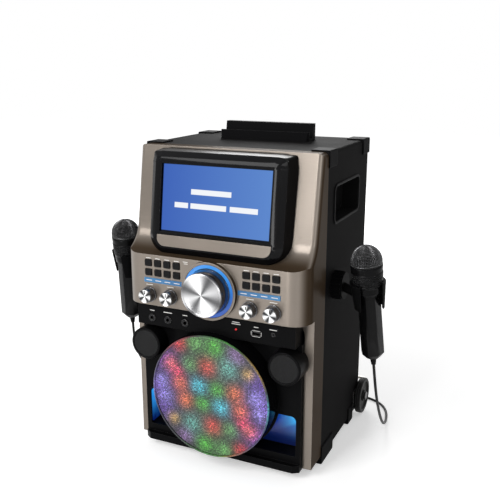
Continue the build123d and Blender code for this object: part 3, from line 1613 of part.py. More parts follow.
def cord_coil():
    """The right cord's put-away length: one unbroken tube wound in two layers."""
    total = 2 * coil_turns_per_layer + coil_climb + coil_last_turn
    quarter_steps = [step / 4 for step in range(4 * coil_turns_per_layer)]
    climb_steps = [coil_turns_per_layer + coil_climb * step / 3 for step in range(3)]
    start = coil_turns_per_layer + coil_climb
    count = 4 * coil_turns_per_layer
    out_steps = [start + step / 4 for step in range(count + 1)]
    turns = quarter_steps + climb_steps + out_steps + [total]
    edges = [Edge.make_line(Vector(*coil_start), coil_point(0))]
    for here, after in zip(turns, turns[1:]):
        edges += biarc(coil_point(here), coil_direction(here, total),
                       coil_point(after), coil_direction(after, total))
    last = coil_point(total)
    way = coil_direction(total, total)
    edges.append(Edge.make_line(last, last + way * coil_tail))
    path = Wire(edges)
    section = Plane(origin=coil_start, z_dir=(-1, 0, 0)) * Circle(cord_radius)
    tube_body = sweep(section, path=path)
    expected = pi * cord_radius ** 2 * path.length
    print("coil length", round(path.length, 1), "volume share", round(tube_body.volume / expected, 4))
    print("coil least gap", round(least_coil_gap(total), 2))
    return tube_body


def least_coil_gap(total):
    """The least gap between the coil's turns, measured on points of its middle line."""
    per_turn = 72
    line = [coil_point(step / per_turn) for step in range(int(total * per_turn))]
    apart = per_turn // 2
    least = min((line[i] - line[j]).length for i in range(len(line)) for j in range(i + apart, len(line)))
    return least - 2 * cord_radius


def mic_plugs():
    """A 6.35 mm plug on each cord's end: barrel, neck and tipped pin."""
    total = 2 * coil_turns_per_layer + coil_climb + coil_last_turn
    end = coil_point(total) + coil_direction(total, total) * coil_tail
    barrel = rod(end.X, end.Y, end.Z, plug_radius, plug_length, "x")
    barrel = fillet(barrel.edges().filter_by(GeomType.CIRCLE), plug_edge_radius)
    pin_start = end.X + plug_length
    groove_x = pin_start + plug_pin_length - plug_groove_width - plug_tip_length
    plug = barrel + rod(pin_start, end.Y, end.Z, plug_pin_radius, groove_x - pin_start, "x")
    plug += rod(groove_x, end.Y, end.Z, plug_pin_radius - plug_groove_depth, plug_groove_width, "x")
    low = (Align.CENTER, Align.CENTER, Align.MIN)
    tip = Cone(plug_pin_radius, plug_tip_radius, plug_tip_length, align=low)
    plug += Pos(groove_x + plug_groove_width, end.Y, end.Z) * Rot(0, 90, 0) * tip
    return both_sides(plug)


# ---------------------------------------------------------------- write every sub-part

write("cabinet_shell", cabinet_shell())
write("back_panel", back_panel())
write("rear_terminals", rear_terminals())
write("power_rocker", power_rocker())
write("screws", screws())
write("corner_protectors", corner_protectors())
write("wheel_right", wheel(1))
write("wheel_left", wheel(-1))
write("wheel_axles", wheel_axles())
write("tablet_cradle", tablet_cradle())
write("monitor_bezel", monitor_bezel())
write("monitor_housing", monitor_housing())
write("display_panel", display_panel())
write("front_bezel", front_bezel())
for number, (key_x, key_z) in enumerate(key_places(), start=1):
    write(f"key_{number:02d}", key(key_x, key_z))
for number, knob_x in enumerate(knob_columns, start=1):
    write(f"small_knob_{number}", small_knob(knob_x))
write("main_knob", main_knob())
write("light_ring", light_ring())
write("accent_lights", accent_lights())
write("jack_panel", jack_panel())
write("front_sockets", front_sockets())
write("lower_fascia", lower_fascia())
write("speaker_grille", speaker_grille())
write("led_board", led_board())
write("woofer", woofer())
write("tweeter_pods", tweeter_pods())
write("tray_door", tray_door())
write("disc_tray", disc_tray())
write("tray_pinion", tray_pinion())
write("loader_chassis", loader_chassis())
write("disc_spindle", disc_spindle())
write("laser_sled", laser_sled())
write("circuit_boards", circuit_boards())
write("mic_holders", mic_holders())
right_body = mic_body()
right_head = mic_head()
write("mic_body_right", right_body)
write("mic_body_left", mirror(right_body, about=Plane.YZ))
write("mic_head_right", right_head)
write("mic_head_left", mirror(right_head, about=Plane.YZ))
write("mic_cords", mic_cords())
right_coil = cord_coil()
write("cord_coil_right", right_coil)
write("cord_coil_left", mirror(right_coil, about=Plane.YZ))
write("mic_plugs", mic_plugs())
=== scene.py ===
from math import atan2, cos, degrees, pi, radians, sin

import bmesh
import bpy
from mathutils import Matrix, Vector


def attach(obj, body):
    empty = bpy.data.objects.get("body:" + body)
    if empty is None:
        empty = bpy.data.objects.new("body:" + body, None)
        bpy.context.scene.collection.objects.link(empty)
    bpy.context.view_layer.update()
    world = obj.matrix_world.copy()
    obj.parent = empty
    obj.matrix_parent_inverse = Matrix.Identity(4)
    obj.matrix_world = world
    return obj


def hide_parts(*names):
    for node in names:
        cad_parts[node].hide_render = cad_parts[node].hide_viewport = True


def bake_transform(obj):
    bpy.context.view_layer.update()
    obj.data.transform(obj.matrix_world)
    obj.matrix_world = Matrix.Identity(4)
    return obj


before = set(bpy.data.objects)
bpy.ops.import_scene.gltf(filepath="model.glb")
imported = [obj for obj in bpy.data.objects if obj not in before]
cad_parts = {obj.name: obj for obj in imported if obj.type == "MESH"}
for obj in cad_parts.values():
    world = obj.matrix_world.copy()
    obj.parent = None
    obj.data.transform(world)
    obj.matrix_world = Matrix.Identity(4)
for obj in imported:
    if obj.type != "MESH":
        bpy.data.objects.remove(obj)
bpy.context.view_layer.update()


# ---------------------------------------------------------------- cabinet shell
# A board box wrapped in black pebbled vinyl, 336 mm wide, 225 mm deep and 553 mm high with its
# feet. A handle pocket is let into each side. The other parts are fixed to its front edge.

MM = 0.001
FRONT = -67.25 * MM     # the cabinet's front edge
TOP = 553 * MM
HALF = 168 * MM


def node_group(name, inputs, outputs):
    """An empty shader group with named sockets, its input and its output node."""
    tree = bpy.data.node_groups.new(name, "ShaderNodeTree")
    for label, value in inputs.items():
        kind = "NodeSocketVector" if isinstance(value, tuple) else "NodeSocketFloat"
        tree.interface.new_socket(label, in_out="INPUT", socket_type=kind).default_value = value
    for label, kind in outputs.items():
        tree.interface.new_socket(label, in_out="OUTPUT", socket_type=kind)
    return tree, tree.nodes.new("NodeGroupInput"), tree.nodes.new("NodeGroupOutput")


def math_node(tree, operation, first, second=None, clamp=False):
    """A Math node fed by sockets or plain numbers."""
    node = tree.nodes.new("ShaderNodeMath")
    node.operation = operation
    node.use_clamp = clamp
    for socket, value in zip(node.inputs, (first, second)):
        if isinstance(value, bpy.types.NodeSocket):
            tree.links.new(value, socket)
        elif value is not None:
            socket.default_value = value
    return node.outputs[0]


def edge_wear_and_glint_group():
    """Rounded shading along edges, and a broken-up mask along them, for worn edges and for painted highlights."""
    tree, given, result = node_group("edge_wear_and_glint", {"Radius": 0.0008, "Wear": 0.5, "Breakup": 140.0},
                                     {"Mask": "NodeSocketFloat", "Normal": "NodeSocketVector"})
    bevel = tree.nodes.new("ShaderNodeBevel")
    bevel.samples = 4
    tree.links.new(given.outputs["Radius"], bevel.inputs["Radius"])
    shape = tree.nodes.new("ShaderNodeNewGeometry")
    dot = tree.nodes.new("ShaderNodeVectorMath")
    dot.operation = "DOT_PRODUCT"
    tree.links.new(bevel.outputs["Normal"], dot.inputs[0])
    tree.links.new(shape.outputs["Normal"], dot.inputs[1])
    place = tree.nodes.new("ShaderNodeTexCoord")
    noise = tree.nodes.new("ShaderNodeTexNoise")
    noise.inputs["Detail"].default_value = 3
    tree.links.new(place.outputs["Object"], noise.inputs["Vector"])
    tree.links.new(given.outputs["Breakup"], noise.inputs["Scale"])
    turned = math_node(tree, "SUBTRACT", 1.0, dot.outputs["Value"])
    broken = math_node(tree, "MULTIPLY", turned, math_node(tree, "MULTIPLY", noise.outputs["Fac"], 9.0))
    mask = math_node(tree, "MULTIPLY", broken, given.outputs["Wear"], clamp=True)
    tree.links.new(mask, result.inputs["Mask"])
    tree.links.new(bevel.outputs["Normal"], result.inputs["Normal"])
    return tree


def fine_grain_group():
    """The even grain of moulded or wrapped plastic: a height for bump and a slow change of tone."""
    tree, given, result = node_group("fine_grain", {"Scale": 1500.0, "Stretch": (1.0, 1.0, 1.0), "Pebble": 0.0},
                                     {"Height": "NodeSocketFloat", "Tone": "NodeSocketFloat"})
    place = tree.nodes.new("ShaderNodeTexCoord")
    stretched = tree.nodes.new("ShaderNodeVectorMath")
    stretched.operation = "MULTIPLY"
    tree.links.new(place.outputs["Object"], stretched.inputs[0])
    tree.links.new(given.outputs["Stretch"], stretched.inputs[1])
    grain = tree.nodes.new("ShaderNodeTexNoise")
    grain.inputs["Detail"].default_value = 2
    pebbles = tree.nodes.new("ShaderNodeTexVoronoi")
    pebbles.feature = "SMOOTH_F1"
    for texture in (grain, pebbles):
        tree.links.new(stretched.outputs["Vector"], texture.inputs["Vector"])
        tree.links.new(given.outputs["Scale"], texture.inputs["Scale"])
    slow = tree.nodes.new("ShaderNodeTexNoise")
    slow.inputs["Scale"].default_value = 14
    slow.inputs["Detail"].default_value = 4
    tree.links.new(place.outputs["Object"], slow.inputs["Vector"])
    between = tree.nodes.new("ShaderNodeMix")
    tree.links.new(given.outputs["Pebble"], between.inputs["Factor"])
    tree.links.new(grain.outputs["Fac"], between.inputs["A"])
    tree.links.new(pebbles.outputs["Distance"], between.inputs["B"])
    tree.links.new(between.outputs["Result"], result.inputs["Height"])
    both = math_node(tree, "MULTIPLY", slow.outputs["Fac"], 0.6)
    both = math_node(tree, "ADD", both, math_node(tree, "MULTIPLY", between.outputs["Result"], 0.4))
    tree.links.new(both, result.inputs["Tone"])
    return tree


edge_wear_and_glint = edge_wear_and_glint_group()
fine_grain = fine_grain_group()


def placed(material, group, **values):
    """A shader group in a material, with its own values."""
    node = material.node_tree.nodes.new("ShaderNodeGroup")
    node.node_tree = group
    for label, value in values.items():
        node.inputs[label].default_value = value
    return node


def finish(name, colour, roughness, metallic=0.0, scale=1500.0, stretch=(1, 1, 1), pebble=0.0,
           depth=0.02, tone=0.3, radius=0.6, wear_and_glint_amount=0.4, wear_and_glint_colour=(0.2, 0.19, 0.18), coat=0.0, shine=0.5):
    """A grained finish with rounded edges, lightened for wear and on some finishes for a painted highlight. Grain depth
    and edge radius are in mm.
    """
    material = bpy.data.materials.new(name)
    material.use_nodes = True
    tree = material.node_tree
    shader = tree.nodes["Principled BSDF"]
    shader.inputs["Metallic"].default_value = metallic
    shader.inputs["Coat Weight"].default_value = coat
    shader.inputs["Specular IOR Level"].default_value = shine
    grain = placed(material, fine_grain, Scale=scale, Stretch=stretch, Pebble=pebble)
    edges = placed(material, edge_wear_and_glint, Radius=radius * MM, Wear=wear_and_glint_amount)
    shade = tree.nodes.new("ShaderNodeMix")
    shade.data_type = "RGBA"
    shade.inputs["A"].default_value = (*(c * (1 - tone) for c in colour), 1)
    shade.inputs["B"].default_value = (*(min(1, c * (1 + tone)) for c in colour), 1)
    tree.links.new(grain.outputs["Tone"], shade.inputs["Factor"])
    # The edge colour is wear on most finishes and a painted highlight on the microphone lacquers.
    wear_and_glint_mix = tree.nodes.new("ShaderNodeMix")
    wear_and_glint_mix.data_type = "RGBA"
    wear_and_glint_mix.inputs["B"].default_value = (*wear_and_glint_colour, 1)
    tree.links.new(edges.outputs["Mask"], wear_and_glint_mix.inputs["Factor"])
    tree.links.new(shade.outputs["Result"], wear_and_glint_mix.inputs["A"])
    tree.links.new(wear_and_glint_mix.outputs["Result"], shader.inputs["Base Color"])
    gloss = tree.nodes.new("ShaderNodeMapRange")
    gloss.inputs["To Min"].default_value = roughness * 0.85
    gloss.inputs["To Max"].default_value = min(1, roughness * 1.15)
    tree.links.new(grain.outputs["Tone"], gloss.inputs["Value"])
    tree.links.new(gloss.outputs["Result"], shader.inputs["Roughness"])
    bump = tree.nodes.new("ShaderNodeBump")
    bump.inputs["Distance"].default_value = depth * MM
    tree.links.new(grain.outputs["Height"], bump.inputs["Height"])
    tree.links.new(edges.outputs["Normal"], bump.inputs["Normal"])
    tree.links.new(bump.outputs["Normal"], shader.inputs["Normal"])
    return material


def dress(material, *names):
    """Gives CAD nodes their finish."""
    for name in names:
        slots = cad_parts[name].data.materials
        slots.clear()
        slots.append(material)


pebbled_vinyl = finish("pebbled_vinyl", (0.0068, 0.0066, 0.0068), 0.66, shine=0.012, tone=0.45, scale=900, pebble=1, depth=0.12,
                       radius=1.2, wear_and_glint_amount=0.25, wear_and_glint_colour=(0.07, 0.068, 0.065))
dress(pebbled_vinyl, "cabinet_shell", "back_panel")


handle_plastic = finish("handle_plastic", (0.006, 0.006, 0.0064), 0.5, scale=2200, depth=0.03,
                        radius=0.5, wear_and_glint_amount=0.3, wear_and_glint_colour=(0.05, 0.05, 0.05), shine=0.03)


def faces_where(piece, test):
    """Selects the faces of a piece in edit mode whose middle and normal pass a test."""
    bpy.ops.mesh.select_mode(type="FACE")
    bpy.ops.mesh.select_all(action="DESELECT")
    shape = bmesh.from_edit_mesh(piece.data)
    for face in shape.faces:
        face.select = test(face.calc_center_median(), face.normal)
    bmesh.update_edit_mesh(piece.data)


def settle(piece, name, body, *stood_for):
    """Names a finished piece and puts it on its body in place of CAD nodes."""
    piece.name = name
    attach(piece, body)
    if stood_for:
        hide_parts(*stood_for)


for side, hand in ((1, "right"), (-1, "left")):
    bpy.ops.object.select_all(action="DESELECT")
    bpy.ops.mesh.primitive_cube_add(size=1)
    rim = bpy.context.object
    rim.scale = (1.6 * MM, 143 * MM, 68 * MM)
    bpy.ops.object.transform_apply(location=True, rotation=True, scale=True)
    bpy.ops.object.mode_set(mode="EDIT")
    bpy.ops.mesh.select_mode(type="EDGE")
    bpy.ops.mesh.select_all(action="DESELECT")
    shape = bmesh.from_edit_mesh(rim.data)
    for edge in shape.edges:
        edge.select = abs(edge.verts[0].co.x - edge.verts[1].co.x) > MM
    bmesh.update_edit_mesh(rim.data)
    bpy.ops.mesh.bevel(offset=13.5 * MM, segments=7, affect="EDGES")
    faces_where(rim, lambda at, normal: abs(normal.x) > 0.9)
    bpy.ops.mesh.inset(thickness=4.2 * MM)
    bpy.ops.mesh.bridge_edge_loops()
    faces_where(rim, lambda at, normal: normal.x * side > 0.9)
    bpy.ops.mesh.inset(thickness=0.8 * MM)
    bpy.ops.mesh.extrude_region_move(TRANSFORM_OT_translate={"value": (side * 0.5 * MM, 0, 0)})
    bpy.ops.mesh.select_all(action="SELECT")
    bpy.ops.mesh.normals_make_consistent(inside=False)
    bpy.ops.object.mode_set(mode="OBJECT")
    rim.data.transform(Matrix.Translation((side * (HALF + 0.85 * MM), FRONT + 102.5 * MM, 462 * MM)))
    rim.data.materials.append(handle_plastic)
    bpy.ops.object.shade_smooth_by_angle(angle=radians(30))
    settle(rim, "handle_rim_" + hand, "pedestal")


# ---------------------------------------------------------------- corner protectors, feet and screws
# Eight black moulded corners, each screwed over a corner of the box. The lower ones are the feet,
# which are longer in front. The screws are blackened steel with a countersunk head.

corner_plastic = finish("corner_plastic", (0.005, 0.005, 0.0054), 0.55, shine=0.012, scale=2200, depth=0.04,
                        radius=1.4, wear_and_glint_amount=0.3, wear_and_glint_colour=(0.07, 0.07, 0.07))
dress(corner_plastic, "corner_protectors")
black_steel = finish("black_steel", (0.06, 0.06, 0.062), 0.35, metallic=1.0, scale=1800, depth=0.01,
                     radius=0.4, wear_and_glint_amount=0.6, wear_and_glint_colour=(0.35, 0.34, 0.32))
dress(black_steel, "screws")


# ---------------------------------------------------------------- rear terminals and power switch
# A stamped plate behind the cabinet with a mains inlet, a rocker switch and four phono sockets.

terminal_paint = finish("terminal_paint", (0.01, 0.01, 0.011), 0.42, shine=0.3, scale=1400, depth=0.03)
dress(terminal_paint, "rear_terminals")
rocker_plastic = finish("rocker_plastic", (0.008, 0.008, 0.008), 0.25, shine=0.3, scale=3000, depth=0.01, wear_and_glint_amount=0.3)
dress(rocker_plastic, "power_rocker")


# ---------------------------------------------------------------- wheels on stub axles
# Two hard plastic wheels, 71 mm across and 12 mm wide, on steel stub axles behind the rear feet.
# The tread has two grooves and the web is dished between the hub and the rim.

def turned_piece(name, outline, middle, axis="x", segments=48):
    """A piece turned on a lathe: (distance along the axis, radius) pairs in mm, spun round it."""
    bpy.ops.object.select_all(action="DESELECT")
    bpy.ops.mesh.primitive_plane_add(size=1)
    piece = bpy.context.object
    piece.name = name
    shape = bmesh.new()
    corners = [shape.verts.new((along, radius, 0)) for along, radius in outline]
    for here, after in zip(corners, corners[1:]):
        shape.edges.new((here, after))
    shape.to_mesh(piece.data)
    shape.free()
    bpy.ops.object.mode_set(mode="EDIT")
    bpy.ops.mesh.select_all(action="SELECT")
    bpy.ops.mesh.spin(steps=segments, angle=2 * pi, center=(0, 0, 0), axis=(1, 0, 0))
    bpy.ops.mesh.select_all(action="SELECT")
    bpy.ops.mesh.remove_doubles(threshold=0.001)
    bpy.ops.mesh.normals_make_consistent(inside=False)
    bpy.ops.object.mode_set(mode="OBJECT")
    turn = {"x": Matrix.Identity(4), "-x": Matrix.Rotation(pi, 4, "Z"),
            "-y": Matrix.Rotation(-pi / 2, 4, "Z")}[axis]
    x, y, z = middle
    piece.data.transform(Matrix.Translation((x * MM, FRONT + y * MM, z * MM)) @ turn @ Matrix.Scale(MM, 4))
    bpy.ops.object.shade_smooth_by_angle(angle=radians(32))
    return piece



wheel_plastic = finish("wheel_plastic", (0.007, 0.007, 0.007), 0.5, shine=0.12, scale=1600, depth=0.05,
                       radius=0.8, wear_and_glint_amount=0.5, wear_and_glint_colour=(0.08, 0.08, 0.078))
WHEEL = [(171.6, 4.15), (171.6, 10.5), (172.1, 11), (174.4, 11.4), (174.8, 12.5), (174.8, 26),
         (174.0, 27.5), (171.8, 28.2), (171.5, 29), (171.5, 33.8), (172.6, 35.2), (174.9, 35.5),
         (175.1, 34.7), (176.1, 34.7), (176.3, 35.5), (178.7, 35.5), (178.9, 34.7), (179.9, 34.7),
         (180.1, 35.5), (182.4, 35.2), (183.5, 33.8), (183.5, 29), (183.2, 28.2), (181.0, 27.5),
         (180.2, 26), (180.2, 12.5), (180.6, 11.4), (182.9, 11), (183.4, 10.5), (183.4, 4.15),
         (171.6, 4.15)]
for side, hand in ((1, "right"), (-1, "left")):
    wheel = turned_piece("rolling_wheel_" + hand, WHEEL, (0, 222, 37), "x" if side == 1 else "-x", 64)
    wheel.data.materials.append(wheel_plastic)
    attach(wheel, hand + "_wheel")
    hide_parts("wheel_" + hand)
dress(black_steel, "wheel_axles")


# ---------------------------------------------------------------- phono socket rings
# Moulded rings, 12 mm across, mark the left and right sockets of the sound inputs and outputs.

ring_white = finish("ring_white", (0.62, 0.61, 0.58), 0.4, scale=2600, depth=0.01, tone=0.1, wear_and_glint_amount=0.1)
ring_red = finish("ring_red", (0.45, 0.012, 0.01), 0.4, scale=2600, depth=0.01, tone=0.2, wear_and_glint_amount=0.1)
PHONO_RING = [(-226.9, 4.3), (-228.4, 4.3), (-228.6, 4.6), (-228.6, 5.7), (-228.4, 6), (-226.9, 6),
              (-226.9, 4.3)]
for number, (x, z) in enumerate(((56.2, 156.3), (68.8, 156.3), (56.2, 143.7), (68.8, 143.7)), start=1):
    ring = turned_piece("phono_ring_%d" % number, PHONO_RING, (x, 0, z), "-y", 36)
    ring.data.materials.append(ring_white if x > 60 else ring_red)
    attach(ring, "pedestal")


# ---------------------------------------------------------------- tablet cradle
# A moulded rest on the top with a slot across it and a low back, soft to the touch.

soft_black = finish("soft_black", (0.0045, 0.0045, 0.005), 0.6, shine=0.025, scale=1900, depth=0.03, radius=1.0,
                    wear_and_glint_amount=0.2, wear_and_glint_colour=(0.05, 0.05, 0.05))
dress(soft_black, "tablet_cradle")


# ---------------------------------------------------------------- monitor pod
# A gloss black pod, 244 mm wide, that leans back 8 degrees. Its chamfered face frames the screen,
# and its deep flanks run back into the silver front.

gloss_black = finish("gloss_black", (0.0025, 0.0025, 0.003), 0.14, shine=0.055, scale=2600, depth=0.004, tone=0.2,
                     radius=1.6, wear_and_glint_amount=0.06, wear_and_glint_colour=(0.1, 0.1, 0.1), coat=0.12)
satin_black = finish("satin_black", (0.003, 0.003, 0.0033), 0.33, shine=0.035, scale=2400, depth=0.02,
                     radius=1.0, wear_and_glint_amount=0.15, wear_and_glint_colour=(0.06, 0.06, 0.06))
POD_TURN = Matrix.Rotation(radians(8), 4, "X") @ Matrix.Translation((0, 140.25 * MM, -472.8 * MM))
POD_CORNER = (105.5 * MM, 61.5 * MM)


def reshaped(name, made, body, material, move):
    """A merged copy of a moulding with its points moved, in the moulding's own place."""
    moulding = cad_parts[name]
    piece = moulding.copy()
    piece.data = moulding.data.copy()
    bpy.context.scene.collection.objects.link(piece)
    bpy.ops.object.select_all(action="DESELECT")
    piece.select_set(True)
    bpy.context.view_layer.objects.active = piece
    bpy.ops.object.mode_set(mode="EDIT")
    bpy.ops.mesh.select_all(action="SELECT")
    bpy.ops.mesh.remove_doubles(threshold=0.001 * MM)
    bpy.ops.object.mode_set(mode="OBJECT")
    for vertex in piece.data.vertices:
        vertex.co = move(vertex.co)
    piece.data.materials.clear()
    piece.data.materials.append(material)
    bpy.ops.object.shade_smooth_by_angle(angle=radians(25))
    settle(piece, made, body, name)


def crisp_corner(point):
    """The pod's two upper corners drawn out of their round to a mitre."""
    flat = POD_TURN @ point
    out = abs(flat.x) - POD_CORNER[0]
    up = flat.z - POD_CORNER[1]
    if out <= 0 or up <= 0:
        return point
    drawn = (out * out + up * up) ** 0.5 / (out ** 9 + up ** 9) ** (1 / 9)
    flat.x = (POD_CORNER[0] + out * drawn) * (1 if flat.x > 0 else -1)
    flat.z = POD_CORNER[1] + up * drawn
    return POD_TURN.inverted() @ flat


reshaped("monitor_bezel", "pod_face", "pedestal", gloss_black, crisp_corner)
reshaped("monitor_housing", "pod_flanks", "pedestal", satin_black, crisp_corner)


# ---------------------------------------------------------------- screen
# A 198 x 111.7 mm colour display. It shows a plain blue ground with white bars where the words of
# a song run, under a clear front.

SCREEN_Z = 472.8
SCREEN_HALF = (99.0, 55.3)


def bar_group():
    """One for points inside an upright bar seen from the front, falling to nothing at its edge."""
    tree, given, result = node_group("front_bar", {"X": 0.0, "Z": 0.0, "Half width": 10.0,
                                                   "Half height": 3.0, "Soft": 0.5},
                                     {"Mask": "NodeSocketFloat"})
    place = tree.nodes.new("ShaderNodeTexCoord")
    parts = tree.nodes.new("ShaderNodeSeparateXYZ")
    tree.links.new(place.outputs["Object"], parts.inputs["Vector"])
    sides = []
    for axis, half in (("X", "Half width"), ("Z", "Half height")):
        mm = math_node(tree, "MULTIPLY", parts.outputs[axis], 1000.0)
        off = math_node(tree, "ABSOLUTE", math_node(tree, "SUBTRACT", mm, given.outputs[axis]))
        inside = math_node(tree, "SUBTRACT", given.outputs[half], off)
        sides.append(math_node(tree, "DIVIDE", inside, given.outputs["Soft"], clamp=True))
    mask = math_node(tree, "MULTIPLY", sides[0], sides[1])
    tree.links.new(mask, result.inputs["Mask"])
    return tree


front_bar = bar_group()


def screen_material():
    """Lit pixels behind gloss: a blue ground that lightens to the right, and white bars."""
    material = bpy.data.materials.new("lit_screen")
    material.use_nodes = True
    tree = material.node_tree
    shader = tree.nodes["Principled BSDF"]
    shader.inputs["Base Color"].default_value = (0.004, 0.006, 0.012, 1)
    shader.inputs["Roughness"].default_value = 0.12
    shader.inputs["Specular IOR Level"].default_value = 0.12
    place = tree.nodes.new("ShaderNodeTexCoord")
    parts = tree.nodes.new("ShaderNodeSeparateXYZ")
    tree.links.new(place.outputs["Object"], parts.inputs["Vector"])
    across = tree.nodes.new("ShaderNodeMapRange")
    across.inputs["From Min"].default_value = -SCREEN_HALF[0] * MM
    across.inputs["From Max"].default_value = SCREEN_HALF[0] * MM
    tree.links.new(parts.outputs["X"], across.inputs["Value"])
    ground = tree.nodes.new("ShaderNodeMix")
    ground.data_type = "RGBA"
    ground.inputs["A"].default_value = (0.038, 0.115, 0.47, 1)
    ground.inputs["B"].default_value = (0.10, 0.235, 0.60, 1)
    tree.links.new(across.outputs["Result"], ground.inputs["Factor"])
    bars = None
    for x, z, half in ((-8, 12, 37), (-62, -11, 13), (-12, -11, 33), (52, -11, 25)):
        bar = placed(material, front_bar)
        for label, value in (("X", x), ("Z", SCREEN_Z + z), ("Half width", half), ("Half height", 4.6)):
            bar.inputs[label].default_value = value
        bars = bar.outputs["Mask"] if bars is None else math_node(tree, "MAXIMUM", bars, bar.outputs["Mask"])
    edge = placed(material, front_bar)
    for label, value in (("Z", SCREEN_Z), ("Half width", SCREEN_HALF[0] - 0.5),
                         ("Half height", SCREEN_HALF[1] - 0.5)):
        edge.inputs[label].default_value = value
    shown = tree.nodes.new("ShaderNodeMix")
    shown.data_type = "RGBA"
    shown.inputs["B"].default_value = (0.9, 0.92, 0.95, 1)
    tree.links.new(bars, shown.inputs["Factor"])
    tree.links.new(ground.outputs["Result"], shown.inputs["A"])
    cells = tree.nodes.new("ShaderNodeTexNoise")
    cells.inputs["Scale"].default_value = 3000
    tree.links.new(place.outputs["Object"], cells.inputs["Vector"])
    dim = math_node(tree, "ADD", math_node(tree, "MULTIPLY", cells.outputs["Fac"], 0.12), 0.92)
    lit = tree.nodes.new("ShaderNodeMix")
    lit.data_type = "RGBA"
    lit.inputs["A"].default_value = (0, 0, 0, 1)
    tree.links.new(math_node(tree, "MULTIPLY", edge.outputs["Mask"], dim), lit.inputs["Factor"])
    tree.links.new(shown.outputs["Result"], lit.inputs["B"])
    tree.links.new(lit.outputs["Result"], shader.inputs["Emission Color"])
    shader.inputs["Emission Strength"].default_value = 1.0
    return material


dress(screen_material(), "display_panel")


# ---------------------------------------------------------------- disc tray and loader
# A silver strip under the screen is the door of a tray that slides out 140 mm on a rack. Behind
# it are the pinion, a stamped chassis, the spindle and the laser sled.

champagne = finish("champagne_paint", (0.196, 0.168, 0.142), 0.3, metallic=0.62, scale=2400,
                   stretch=(0.02, 0.02, 1), depth=0.014, coat=0.35, tone=0.2, radius=1.6, wear_and_glint_amount=0.2,
                   wear_and_glint_colour=(0.6, 0.54, 0.48), shine=0.0)
hairline = champagne.node_tree.nodes["Principled BSDF"]
hairline.inputs["Anisotropic"].default_value = 0.7
hairline.inputs["Anisotropic Rotation"].default_value = 0.25
hairline.inputs["Coat Roughness"].default_value = 0.28
# Painted shade: faces that turn to the sides or up are darkened to a bronze tone, where less light falls on them.
FLANK_SHADE = (0.24, 0.19, 0.14)
facing = champagne.node_tree.nodes.new("ShaderNodeNewGeometry")
facing_parts = champagne.node_tree.nodes.new("ShaderNodeSeparateXYZ")
champagne.node_tree.links.new(facing.outputs["Normal"], facing_parts.inputs["Vector"])
sideways = math_node(champagne.node_tree, "ABSOLUTE", facing_parts.outputs["X"])
away = math_node(champagne.node_tree, "MAXIMUM", sideways, facing_parts.outputs["Z"])
flank_shade_mask = champagne.node_tree.nodes.new("ShaderNodeMapRange")
flank_shade_mask.interpolation_type = "SMOOTHSTEP"
flank_shade_mask.inputs["From Min"].default_value = 0.5
flank_shade_mask.inputs["From Max"].default_value = 0.92
champagne.node_tree.links.new(away, flank_shade_mask.inputs["Value"])
flank_shade = champagne.node_tree.nodes.new("ShaderNodeMix")
flank_shade.data_type = "RGBA"
flank_shade.blend_type = "MULTIPLY"
flank_shade.inputs["B"].default_value = (*FLANK_SHADE, 1)
champagne.node_tree.links.new(flank_shade_mask.outputs["Result"], flank_shade.inputs["Factor"])
champagne.node_tree.links.new(hairline.inputs["Base Color"].links[0].from_socket, flank_shade.inputs["A"])
champagne.node_tree.links.new(flank_shade.outputs["Result"], hairline.inputs["Base Color"])
# The same painted shade lowers the coat and the metal on those faces.
for socket, facing_value, shaded_value in (("Coat Weight", 0.35, 0.04), ("Metallic", 0.62, 0.12)):
    flank_shade_ramp = champagne.node_tree.nodes.new("ShaderNodeMapRange")
    flank_shade_ramp.inputs["To Min"].default_value = facing_value
    flank_shade_ramp.inputs["To Max"].default_value = shaded_value
    champagne.node_tree.links.new(flank_shade_mask.outputs["Result"], flank_shade_ramp.inputs["Value"])
    champagne.node_tree.links.new(flank_shade_ramp.outputs["Result"], hairline.inputs[socket])
dress(champagne, "tray_door")
tray_plastic = finish("tray_plastic", (0.01, 0.01, 0.011), 0.4, shine=0.3, scale=2000, depth=0.03)
dress(tray_plastic, "disc_tray")
zinc = finish("zinc_plate", (0.52, 0.53, 0.55), 0.38, metallic=1.0, scale=240, depth=0.01, tone=0.2,
              radius=0.4, wear_and_glint_amount=0.3, wear_and_glint_colour=(0.8, 0.8, 0.8))
dress(zinc, "loader_chassis")
acetal = finish("white_acetal", (0.75, 0.74, 0.7), 0.35, scale=1800, depth=0.01, tone=0.06, wear_and_glint_amount=0.1,
                wear_and_glint_colour=(0.9, 0.9, 0.88))
dress(acetal, "tray_pinion")
dress(rocker_plastic, "disc_spindle", "laser_sled")


# ---------------------------------------------------------------- silver front
# One moulding in champagne paint with a level hairline: a leaning frame round the pod, a scoop,
# the control panel with a collar for the dial, and two legs beside the speaker.

dress(champagne, "front_bezel")


# ---------------------------------------------------------------- keys
# Sixteen square black keys in four blocks of four, 13 x 11.7 mm, with a fine matt skin.

key_rubber = finish("key_rubber", (0.0035, 0.0035, 0.004), 0.42, scale=3200, depth=0.02, radius=0.7,
                    wear_and_glint_amount=0.25, wear_and_glint_colour=(0.05, 0.05, 0.05), shine=0.1)
KEY_COLUMNS = (-117.7, -99.5, -81.4, -63.2, 65.3, 82.5, 100, 117.2)
KEY_ROWS = (361.5, 345)


def edges_where(piece, test):
    """Selects the edges of a piece in edit mode whose two ends pass a test together."""
    bpy.ops.mesh.select_mode(type="EDGE")
    bpy.ops.mesh.select_all(action="DESELECT")
    shape = bmesh.from_edit_mesh(piece.data)
    for edge in shape.edges:
        edge.select = test(edge.verts[0].co, edge.verts[1].co)
    bmesh.update_edit_mesh(piece.data)


